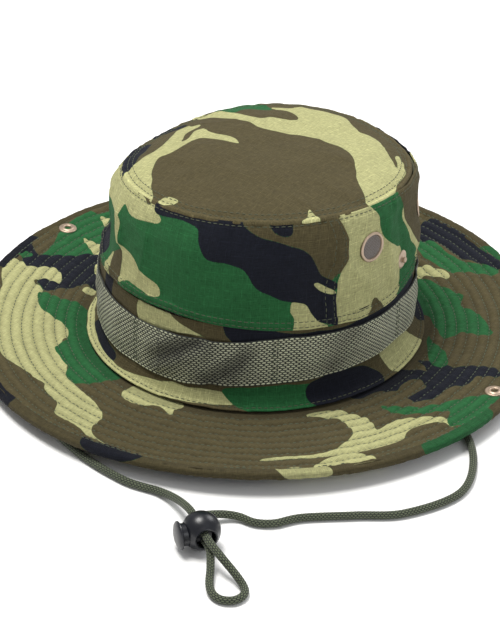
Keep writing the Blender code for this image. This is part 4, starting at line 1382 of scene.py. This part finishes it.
EDGE_PRINT = (
    ("black", ((2, -2), (36, -2), (38, 6), (24, 12), (4, 10))),
    ("black", ((282, -2), (296, -2), (296, 12), (284, 12))),
    ("black", ((298, 4), (312, -2), (318, 12), (300, 12))),
    ("sand", ((118, -2), (142, -2), (148, 12), (124, 12))),
    ("green", ((214, -2), (262, -2), (256, 12), (208, 12))),
    ("sand", ((-120, -2), (-96, -2), (-100, 12), (-126, 12))),
    ("black", ((-96, -2), (-66, -2), (-62, 12), (-92, 12))),
    ("black", ((350, -2), (384, -2), (380, 12), (352, 12))),
    ("green", ((420, -2), (462, -2), (456, 12), (424, 12))),
    ("black", ((-260, -2), (-222, -2), (-226, 12), (-256, 12))),
    ("sand", ((-440, -2), (-396, -2), (-400, 12), (-436, 12))),
)

# %% Where the sockets sit
SOCKET_X = 158.6
socket_seats = {}
for side_name, side in SIDES.items():
    socket_angle = 90.0 + math.degrees(math.asin(FITTING_MIDDLE / (SOCKET_X + OVAL)))
    socket_radius = SOCKET_X / math.sin(math.radians(socket_angle))
    slope = brim_height(socket_angle, socket_radius + 1.0) - brim_height(socket_angle, socket_radius - 1.0)
    place = brim_point(side * socket_angle, socket_radius, 0.45)
    facing = np.array([-side * slope / 2.0, 0.0, 1.0])
    socket_seats[side_name] = (place, facing / np.linalg.norm(facing))


def calm_near_sockets(points):
    calm = 1.0
    for place, _ in socket_seats.values():
        calm = calm * smooth(4.5, 9.0, np.linalg.norm(points[..., :2] - place[:2], axis=-1))
    return calm


# %% The brim's layers
HALVES = {"right": (0.0, 180.0), "left": (-180.0, 0.0)}


def bend_with(obj):
    """Fixes the object's placement into its mesh."""
    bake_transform(obj)


def upper_surface(angle, radius):
    plain = brim_point(angle, radius)
    calm = calm_near_sockets(plain)
    lift = calm * quilting(angle, radius) + (1 - calm) * 0.45
    return plain + stacked(0 * lift, 0 * lift, lift)


def brim_layer(name, side_name, step_angle, step_radius, under, replaced):
    low, high = HALVES[side_name]
    angle = np.linspace(low, high, int((high - low) / step_angle) + 1)[None, :]
    radius = np.linspace(93.4, 168.6, int(75.2 / step_radius) + 1)[:, None]
    points = upper_surface(angle, radius + 0 * angle)
    if under:
        plain = brim_point(angle, radius + 0 * angle, -BRIM_THICK + 0.3)
        points = plain - (points - plain - (0, 0, BRIM_THICK - 0.3)) * (0, 0, 0.6)
    x, y = points[..., 0], points[..., 1]
    phase = (radius - QUILT_FIRST) / QUILT_STEP
    quilted = smooth(QUILT_FIRST - 1, QUILT_FIRST + 2, radius)
    # Painted light and shade: the quilting's puffs are made lighter and its stitched grooves darker.
    wear_and_painted_shade = 0.75 * np.abs(np.sin(math.pi * phase)) ** 0.6 * quilted + 0 * angle
    flat = stacked(x, y)
    fields = printed(-flat if under else flat, "brown", BRIM_PRINT)
    fields["cloth"] = stacked(x, y, wear_and_painted_shade)
    if under:
        points = points[::-1]
        fields = {ink: field[::-1] for ink, field in fields.items()}
    mesh = grid_mesh(name, points, fields)
    obj = piece(name, mesh, brim_material, None, 0.0, replaced)
    bend_with(obj)


def middle_too(side_name, *layers):
    """The nodes that this half stands for: its own side, and the middle ones with the right half."""
    words = ("middle", "right") if side_name == "right" else ("left",)
    return [f"{layer}_{word}" for layer in layers for word in words]


for side_name in SIDES:
    replaced = middle_too(side_name, "brim_upper", "brim_core")
    brim_layer(f"brim_upper_cloth_{side_name}", side_name, 0.5, 0.8, False, replaced)
    replaced = middle_too(side_name, "brim_under")
    brim_layer(f"brim_under_cloth_{side_name}", side_name, 1.0, 1.6, True, replaced)

# %% The binding round the edge
EDGE_ARC = 2.98
EDGE_PROFILE = (
    (162.9, 0.1),
    (163.2, 0.85),
    (165.0, 1.2),
    (168.0, 1.25),
    (170.0, 0.95),
    (171.0, -0.2),
    (171.1, -1.6),
    (170.9, -2.8),
    (170.0, -3.6),
    (168.0, -4.0),
    (165.0, -3.9),
    (163.3, -3.7),
    (163.0, -3.0),
)
EDGE_STITCH = 164.6


def edge_surface(angle, radius, lift, at):
    groove = -0.45 * bump(radius, EDGE_STITCH, 0.55)
    flat = stacked(angle * EDGE_ARC, at * 0.6, 0 * angle)
    pucker = 0.28 * noise(flat, 2.6, 71) + 0.3 * noise(flat * (1, 0, 1), 24.0, 72) * (lift > -2)
    return brim_point(angle, radius, lift + groove + pucker * np.sign(lift + 1.6))


def binding(side_name):
    low, high = HALVES[side_name]
    angle = np.linspace(low, high, 481)[None, :]
    radius, lift, at = (x[:, None] for x in fine_profile(EDGE_PROFILE, 0.55))
    points = edge_surface(angle, radius + 0 * angle, lift, at)
    flat = stacked(angle * EDGE_ARC, at)
    fields = printed(flat, "brown", EDGE_PRINT)
    fields["cloth"] = stacked(flat[..., 0], flat[..., 1], 0.35 * bump(at, 8.0, 1.6) + 0 * angle)
    mesh = grid_mesh(f"brim_edge_binding_{side_name}", points, fields)
    words = ("right", "front") if side_name == "right" else ("left", "rear")
    replaced = [f"brim_binding_{word}" for word in words]
    obj = piece(mesh.name, mesh, brim_material, None, 0.0, replaced)
    bend_with(obj)


for side_name in SIDES:
    binding(side_name)

# %% [markdown]
# ## Stitches
# Every seam and every ring of quilting is a row of real stitches: short arched pieces of thread that dive
# into the cloth at both ends. One mesh holds a whole group of rows.


# %% Stitches along rows
STITCH_PITCH = 3.5
STITCH_SIDES = 5


def stitch_mesh(name, places, along, up, length=2.9, radius=0.3):
    """One arched stitch at each place."""
    along = along / np.linalg.norm(along, axis=-1, keepdims=True)
    side = np.cross(along, up)
    side /= np.linalg.norm(side, axis=-1, keepdims=True)
    up = np.cross(side, along)
    share = np.array([-1.0, -0.62, 0.0, 0.62, 1.0])
    girth = radius * np.array([0.35, 0.95, 1.0, 0.95, 0.35])
    height = 0.22 - 0.5 * share**2
    turn = np.arange(STITCH_SIDES) * 2 * math.pi / STITCH_SIDES
    line = places[:, None] + along[:, None] * (share * length / 2)[:, None] + up[:, None] * height[:, None]
    ring = np.cos(turn)[:, None] * side[:, None, None] + np.sin(turn)[:, None] * up[:, None, None]
    points = line[:, :, None] + ring * girth[:, None, None]
    count, rings = points.shape[:2]
    index = np.arange(count * rings * STITCH_SIDES).reshape(count, rings, STITCH_SIDES)
    index = np.concatenate([index, index[:, :, :1]], axis=2)
    quads = stacked(index[:, :-1, :-1], index[:, 1:, :-1], index[:, 1:, 1:], index[:, :-1, 1:])
    mesh = bpy.data.meshes.new(name)
    mesh.from_pydata((points.reshape(-1, 3) * MM).tolist(), [], quads.reshape(-1, 4).tolist())
    mesh.shade_smooth()
    return mesh


def sample(grid, t, s):
    """The points of a grid at these shares of its rows and columns."""
    row = np.clip(t, 0, 1) * (grid.shape[0] - 1)
    column = np.clip(s, 0, 1) * (grid.shape[1] - 1)
    r0, c0 = np.floor(row).astype(int), np.floor(column).astype(int)
    r1, c1 = np.minimum(r0 + 1, grid.shape[0] - 1), np.minimum(c0 + 1, grid.shape[1] - 1)
    fr, fc = (row - r0)[..., None], (column - c0)[..., None]
    upper = grid[r0, c0] * (1 - fc) + grid[r0, c1] * fc
    lower = grid[r1, c0] * (1 - fc) + grid[r1, c1] * fc
    return upper * (1 - fr) + lower * fr


def row_of_stitches(line, normal):
    """Places, directions and normals of stitches at an even pitch along a line on a surface."""
    length = np.concatenate([[0], np.cumsum(np.linalg.norm(np.diff(line, axis=0), axis=1))])
    count = max(int(length[-1] / STITCH_PITCH), 1)
    at = (np.arange(count) + 0.5) * length[-1] / count
    pick = [np.stack([np.interp(at + d, length, line[:, i]) for i in range(3)], 1) for d in (-1.0, 0.0, 1.0)]
    up = np.stack([np.interp(at, length, normal[:, i]) for i in range(3)], 1)
    return pick[1], pick[2] - pick[0], up


def sew(name, rows, body, material, radius=0.3):
    """One mesh of all the rows of stitches, each row a line and its normals."""
    done = [row_of_stitches(line, normal) for line, normal in rows]
    places, along, up = (np.concatenate([row[i] for row in done]) for i in range(3))
    mesh = stitch_mesh(name, places, along, up, radius=radius)
    return piece(name, mesh, material, body)


# %% Stitches on the brim
def brim_stitches(side_name):
    low, high = HALVES[side_name]
    angle = np.linspace(low, high, 1400)
    rows = []
    radii = [QUILT_FIRST + QUILT_STEP * k for k in range(QUILT_ROWS)]
    for radius in radii:
        line = upper_surface(angle, radius + 0 * angle) + (0, 0, 0.08)
        clear = calm_near_sockets(line) > 0.6
        breaks = np.flatnonzero(np.diff(clear.astype(int))) + 1
        for part, kept in zip(np.split(line, breaks), np.split(clear, breaks)):
            if kept[0] and len(part) > 4:
                rows.append((part, np.tile((0.0, 0.0, 1.0), (len(part), 1))))
    line = edge_surface(angle, EDGE_STITCH + 0 * angle, 1.15 + 0 * angle, 2.6 + 0 * angle) + (0, 0, 0.08)
    rows.append((line, np.tile((0.0, 0.0, 1.0), (len(line), 1))))
    return sew(f"brim_stitches_{side_name}", rows, None, thread_material)


for side_name in SIDES:
    bend_with(brim_stitches(side_name))


# %% Stitches on the crown
def grid_row(grid, normal, t, s):
    return sample(grid, t, s), sample(normal, t, s)


def panel_rows(grid, columns_arc, lapped):
    normal = -normals_of(grid)
    s = np.linspace(0, 1, 900)
    hem = grid[0, :, 2]
    tall = RIM_HEIGHT - np.interp(s, np.linspace(0, 1, len(hem)), hem)
    rows = [grid_row(grid, normal, up / tall, s) for up in (1.6, 4.9)]
    rows.append(grid_row(grid, normal, 1 - 1.9 / tall, s))
    if lapped:
        t = np.linspace(0.03, 0.965, 200)
        for inset in (1.5, SEAM_WIDE - 1.4):
            for s_at in (inset / columns_arc, 1 - inset / columns_arc):
                rows.append(grid_row(grid, normal, t, np.full_like(t, s_at)))
    return rows


crown_rows = panel_rows(front_panel, 2 * FRONT_SEAM * SIDE_ARC, True)
crown_rows += panel_rows(rear_panel, (360 - 2 * FRONT_SEAM) * SIDE_ARC, False)
top_normal = normals_of(top_points)
s = np.linspace(0, 1, 1200)
for inset in (3.2, 6.4):
    crown_rows.append(grid_row(top_points, top_normal, np.full_like(s, 1 - inset / RIM_RADIUS), s))
band_normal = normals_of(band_points)
crown_rows.append(grid_row(band_points, band_normal, np.full_like(s, 1 - 2.4 / 57.0), s))
sew("crown_stitches", crown_rows, "hat", seam_thread_material, 0.25)
tape_normal = normals_of(tape_points)
t = np.linspace(0.04, 0.96, 60)
tack_rows = []
for tack in TACKS:
    for offset in (-0.7, 0.7):
        share = ((tack + offset) % 360.0) / 360.0 * 720 / 719
        tack_rows.append(grid_row(tape_points, tape_normal, t, np.full_like(t, share)))
sew("webbing_stitches", tack_rows, "hat", thread_material, 0.3)

# %% [markdown]
# ## Vents and snaps
# A vent is a ring pressed over a screen of woven wire and clinched into a washer behind the cloth. A snap
# stud stands on each side of the crown, and its socket is in the side brim, so that the brim can be
# snapped up.


# %% Round parts
def turned(name, profile, place, facing, sides=48):
    """A round part: a profile of (radius, height) swept round an axis that starts at this place."""
    facing = np.asarray(facing, float) / np.linalg.norm(facing)
    side = np.cross((0.0, 0.0, 1.0) if abs(facing[2]) < 0.9 else (0.0, 1.0, 0.0), facing)
    side /= np.linalg.norm(side)
    up = np.cross(facing, side)
    turn = np.arange(sides) * 2 * math.pi / sides
    radius, height = np.asarray(profile, float).T
    ring = np.cos(turn)[:, None] * side + np.sin(turn)[:, None] * up
    points = np.asarray(place) + height[:, None, None] * facing + radius[:, None, None] * ring
    return grid_mesh(name, points, closed=True)


def softened(profile, closed=False):
    """The profile with its corners rounded a little."""
    points = np.asarray(profile, float)
    following = np.roll(points, -1, 0) if closed else points[1:]
    leading = points if closed else points[:-1]
    nearer = leading * 0.8 + following * 0.2
    farther = leading * 0.2 + following * 0.8
    out = np.concatenate([nearer, farther], axis=1).reshape(-1, 2)
    return np.concatenate([out, out[:1]]) if closed else np.concatenate([points[:1], out, points[-1:]])


VENT_RING = (
    (7.3, -1.3),
    (7.3, 0.2),
    (7.5, 0.7),
    (7.9, 0.95),
    (8.4, 0.95),
    (8.9, 0.75),
    (9.2, 0.35),
    (9.15, -0.05),
    (7.9, -0.05),
    (7.7, -1.3),
)
VENT_WASHER = ((7.8, -0.9), (9.2, -0.9), (9.5, -1.2), (9.2, -1.6), (7.8, -1.6))
STUD = (
    (0.02, 2.9),
    (1.2, 2.85),
    (1.75, 2.45),
    (1.85, 1.9),
    (1.5, 1.2),
    (1.5, 0.8),
    (2.3, 0.55),
    (4.6, 0.7),
    (5.4, 0.5),
    (5.75, 0.1),
    (5.6, -0.1),
    (0.02, -0.1),
)
STUD_WASHER = ((0.02, -0.9), (5.4, -0.9), (5.75, -1.2), (5.4, -1.6), (0.02, -1.6))
SOCKET = (
    (0.02, -1.2),
    (1.9, -1.2),
    (2.0, 0.4),
    (2.3, 1.05),
    (2.9, 1.3),
    (3.5, 1.1),
    (4.1, 0.75),
    (4.8, 0.85),
    (5.5, 0.65),
    (5.75, 0.2),
    (5.7, -0.2),
    (2.2, -0.2),
    (2.1, -1.4),
    (0.02, -1.4),
)
SOCKET_CAP = ((0.02, 0.85), (2.5, 0.8), (4.6, 0.6), (5.6, 0.25), (5.75, 0.0), (5.6, -0.12), (0.02, -0.12))


def screen_wires(name, place, facing):
    """Woven wire, cut to a disc."""
    facing = np.asarray(facing) / np.linalg.norm(facing)
    side = np.cross((0.0, 0.0, 1.0), facing)
    side /= np.linalg.norm(side)
    up = np.cross(facing, side)
    pitch, wire, reach, deep = 0.95, 0.19, 7.5, -0.3
    parts = []
    for k in range(-7, 8):
        offset = k * pitch
        half = math.sqrt(max(reach * reach - offset * offset, 0.2))
        run = np.arange(-half, half + 0.12, 0.24)
        for first, second, sign in ((side, up, 1.0), (up, side, -1.0)):
            over = sign * (-1) ** k * 0.17 * np.cos(math.pi * run / pitch) + deep
            line = place + run[:, None] * first + offset * second + over[:, None] * facing
            turn = np.arange(5) * 2 * math.pi / 5
            ring = np.cos(turn)[:, None] * second + np.sin(turn)[:, None] * facing
            parts.append(grid_mesh("wire", line[:, None] + ring * wire, closed=True))
    work = bmesh.new()
    for part in parts:
        work.from_mesh(part)
        bpy.data.meshes.remove(part)
    mesh = bpy.data.meshes.new(name)
    work.to_mesh(mesh)
    work.free()
    mesh.shade_smooth()
    return mesh


for word, (place, facing) in vent_seats.items():
    ring = turned(f"vent_rim_{word}", softened(VENT_RING, True), place, facing, 64)
    piece(f"vent_rim_{word}", ring, brass_material, "hat", 0, [f"vent_ring_{word}"])
    wires = screen_wires(f"vent_mesh_{word}", place, facing)
    piece(f"vent_mesh_{word}", wires, screen_material, "hat", 0, [f"vent_screen_{word}"])
    washer = turned(f"vent_back_ring_{word}", softened(VENT_WASHER, True), place, facing, 64)
    piece(f"vent_back_ring_{word}", washer, brass_material, "hat", 0, [f"vent_washer_{word}"])
for word, (place, facing) in stud_seats.items():
    stud = turned(f"snap_post_{word}", softened(STUD), place, facing)
    piece(f"snap_post_{word}", stud, brass_material, "hat", 0, [f"snap_stud_{word}"])
    washer = turned(f"snap_post_washer_{word}", softened(STUD_WASHER), place, facing)
    piece(f"snap_post_washer_{word}", washer, steel_material, "hat", 0, [f"snap_stud_washer_{word}"])
for word, (place, facing) in socket_seats.items():
    socket = turned(f"snap_ring_{word}", softened(SOCKET), place, facing)
    body = f"{word}_side_brim"
    piece(f"snap_ring_{word}", socket, brass_material, body, 0, [f"snap_socket_{word}"])
    under = place - facing * (BRIM_THICK + 0.75)
    cap = turned(f"snap_cap_{word}", softened(SOCKET_CAP), under, -facing)
    piece(f"snap_cap_{word}", cap, brass_material, body, 0, [f"snap_socket_cap_{word}"])

# %% [markdown]
# ## The cord's tabs and its lock
# A folded scrap of webbing holds each end of the cord. The lock is a moulded ball with a wide rounded
# mouth. Its button slides in sideways against a spring and pinches both strands, until it is pressed.


# %% Tabs
def cord_tab(side_name):
    side = SIDES[side_name]
    turn = np.arange(28) * 2 * math.pi / 28
    middle = [(y, 1.0) for y in range(-5, 6)]
    ends = [(-6.0, 0.55), (-5.9, 0.9), (-5.5, 1.0), *middle, (5.5, 1.0), (5.9, 0.9), (6.0, 0.55)]
    ends = np.array(ends)
    squash_x = np.sign(np.cos(turn)) * np.abs(np.cos(turn)) ** 0.45
    squash_z = np.sign(np.sin(turn)) * np.abs(np.sin(turn)) ** 0.55
    across = 97.45 + 4.9 * squash_x[None, :] * ends[:, 1:]
    z = 2.5 + 2.05 * squash_z[None, :] * ends[:, 1:]
    points = stacked(across, ends[:, :1], z)
    around = np.concatenate([[0], np.cumsum(np.hypot(np.diff(across[5]), np.diff(z[5])))])
    cloth = stacked(ends[:, :1], around[None, :], 0.2)
    if side < 0:
        points = points * (-1, 1, 1)
    mesh = grid_mesh(f"cord_end_tab_{side_name}", points, {"cloth": cloth}, closed=True)
    piece(mesh.name, mesh, webbing_material, "hat", 0, [f"chin_cord_tab_{side_name}"])


for side_name in SIDES:
    cord_tab(side_name)


# %% The lock
BALL = 10.8
BORE = 6.7
TUNNEL = 4.95
STRAND_SLOT = (-2.85, 5.05)
SLOT_TALL = 9.9
ball_arc = np.radians(np.linspace(42, 142, 18))
ball_profile = [
    (TUNNEL, -8.2),
    (TUNNEL, -4.0),
    (TUNNEL, 0.0),
    (TUNNEL, 4.0),
    (TUNNEL, 7.6),
    (5.2, 8.4),
    (5.75, 8.95),
    (6.4, 9.05),
    (6.9, 8.65),
    *((BALL * math.sin(a), BALL * math.cos(a)) for a in ball_arc),
    (6.4, -8.9),
    (5.7, -9.05),
    (5.15, -8.75),
    (TUNNEL, -8.2),
]
lock_centre = LOCK_CENTRE + (0, 0, 0.7)


def with_cuts(name, mesh, cutters):
    """The mesh with each cutter's shape taken out of it."""
    obj = bpy.data.objects.new(name, mesh)
    bpy.context.scene.collection.objects.link(obj)
    helpers = []
    for i, cutter in enumerate(cutters):
        helper = bpy.data.objects.new(f"cutter_{i}", cutter)
        bpy.context.scene.collection.objects.link(helper)
        helpers.append(helper)
        cut = obj.modifiers.new(f"cut_{i}", "BOOLEAN")
        cut.object = helper
        cut.solver = "EXACT"
    bpy.context.view_layer.update()
    final = bpy.data.meshes.new_from_object(obj.evaluated_get(bpy.context.evaluated_depsgraph_get()))
    for helper in (obj, *helpers):
        bpy.data.objects.remove(helper)
    final.name = name
    final.shade_smooth()
    final.set_sharp_from_angle(angle=math.radians(35))
    return final


def welded(mesh):
    work = bmesh.new()
    work.from_mesh(mesh)
    bmesh.ops.remove_doubles(work, verts=work.verts, dist=0.00006)
    bmesh.ops.recalc_face_normals(work, faces=work.faces)
    work.to_mesh(mesh)
    work.free()
    return mesh


def box_at(low, high):
    """A box between two corners, along the cord, towards the button and up."""
    work = bmesh.new()
    bmesh.ops.create_cube(work, size=1.0)
    low, high = np.array(low), np.array(high)
    for v in work.verts:
        along, aside, up = (low + high) / 2 + np.array(v.co) * (high - low)
        v.co = Vector(lock_point(along, aside, up) * MM)
    bmesh.ops.recalc_face_normals(work, faces=work.faces)
    mesh = bpy.data.meshes.new("box")
    work.to_mesh(mesh)
    work.free()
    return mesh


BORE_CUT = ((0.01, 20.0), (BORE, 20.0), (BORE, -6.8), (3.3, -6.8), (3.3, -8.7), (0.01, -8.7))
ball = welded(turned("lock_ball", ball_profile, lock_centre, lock_forward, 64))
bore = welded(turned("bore", BORE_CUT, LOCK_CENTRE, lock_button, 48))
ball = with_cuts("lock_ball", ball, [bore])
piece("lock_ball", ball, plastic_material, "cord_lock", 0, ["cord_lock_body"])
BUTTON = (
    (0.01, 14.6),
    (3.0, 14.5),
    (5.4, 14.15),
    (7.2, 13.45),
    (7.9, 12.8),
    (7.95, 12.2),
    (7.5, 11.8),
    (6.4, 11.7),
    (6.35, 11.2),
    (6.35, -3.9),
    (6.1, -4.1),
    (0.01, -4.1),
)
button = welded(turned("lock_button", BUTTON, LOCK_CENTRE, lock_button, 48))
slot_box = box_at((-12, STRAND_SLOT[0], -SLOT_TALL / 2), (12, STRAND_SLOT[1], SLOT_TALL / 2))
button = with_cuts("lock_button", button, [slot_box])
piece("lock_button", button, plastic_material, "cord_lock_button", 0, ["cord_lock_plunger"])
coil = np.linspace(0, 1, 120)
coil_line = np.array(
    [lock_point(2.4 * math.cos(22 * t), -8.1 + 3.5 * t, 2.4 * math.sin(22 * t)) for t in coil]
)
coil_points, _, _ = tube(even_line(coil_line, 0.35), 0.3, 8)
spring_mesh = grid_mesh("lock_spring", coil_points)
spring = piece("lock_spring", spring_mesh, steel_material, "cord_lock", 0, ["cord_lock_spring"])
spring_foot = lock_point(0, -8.5, 0) * MM
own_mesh(spring)
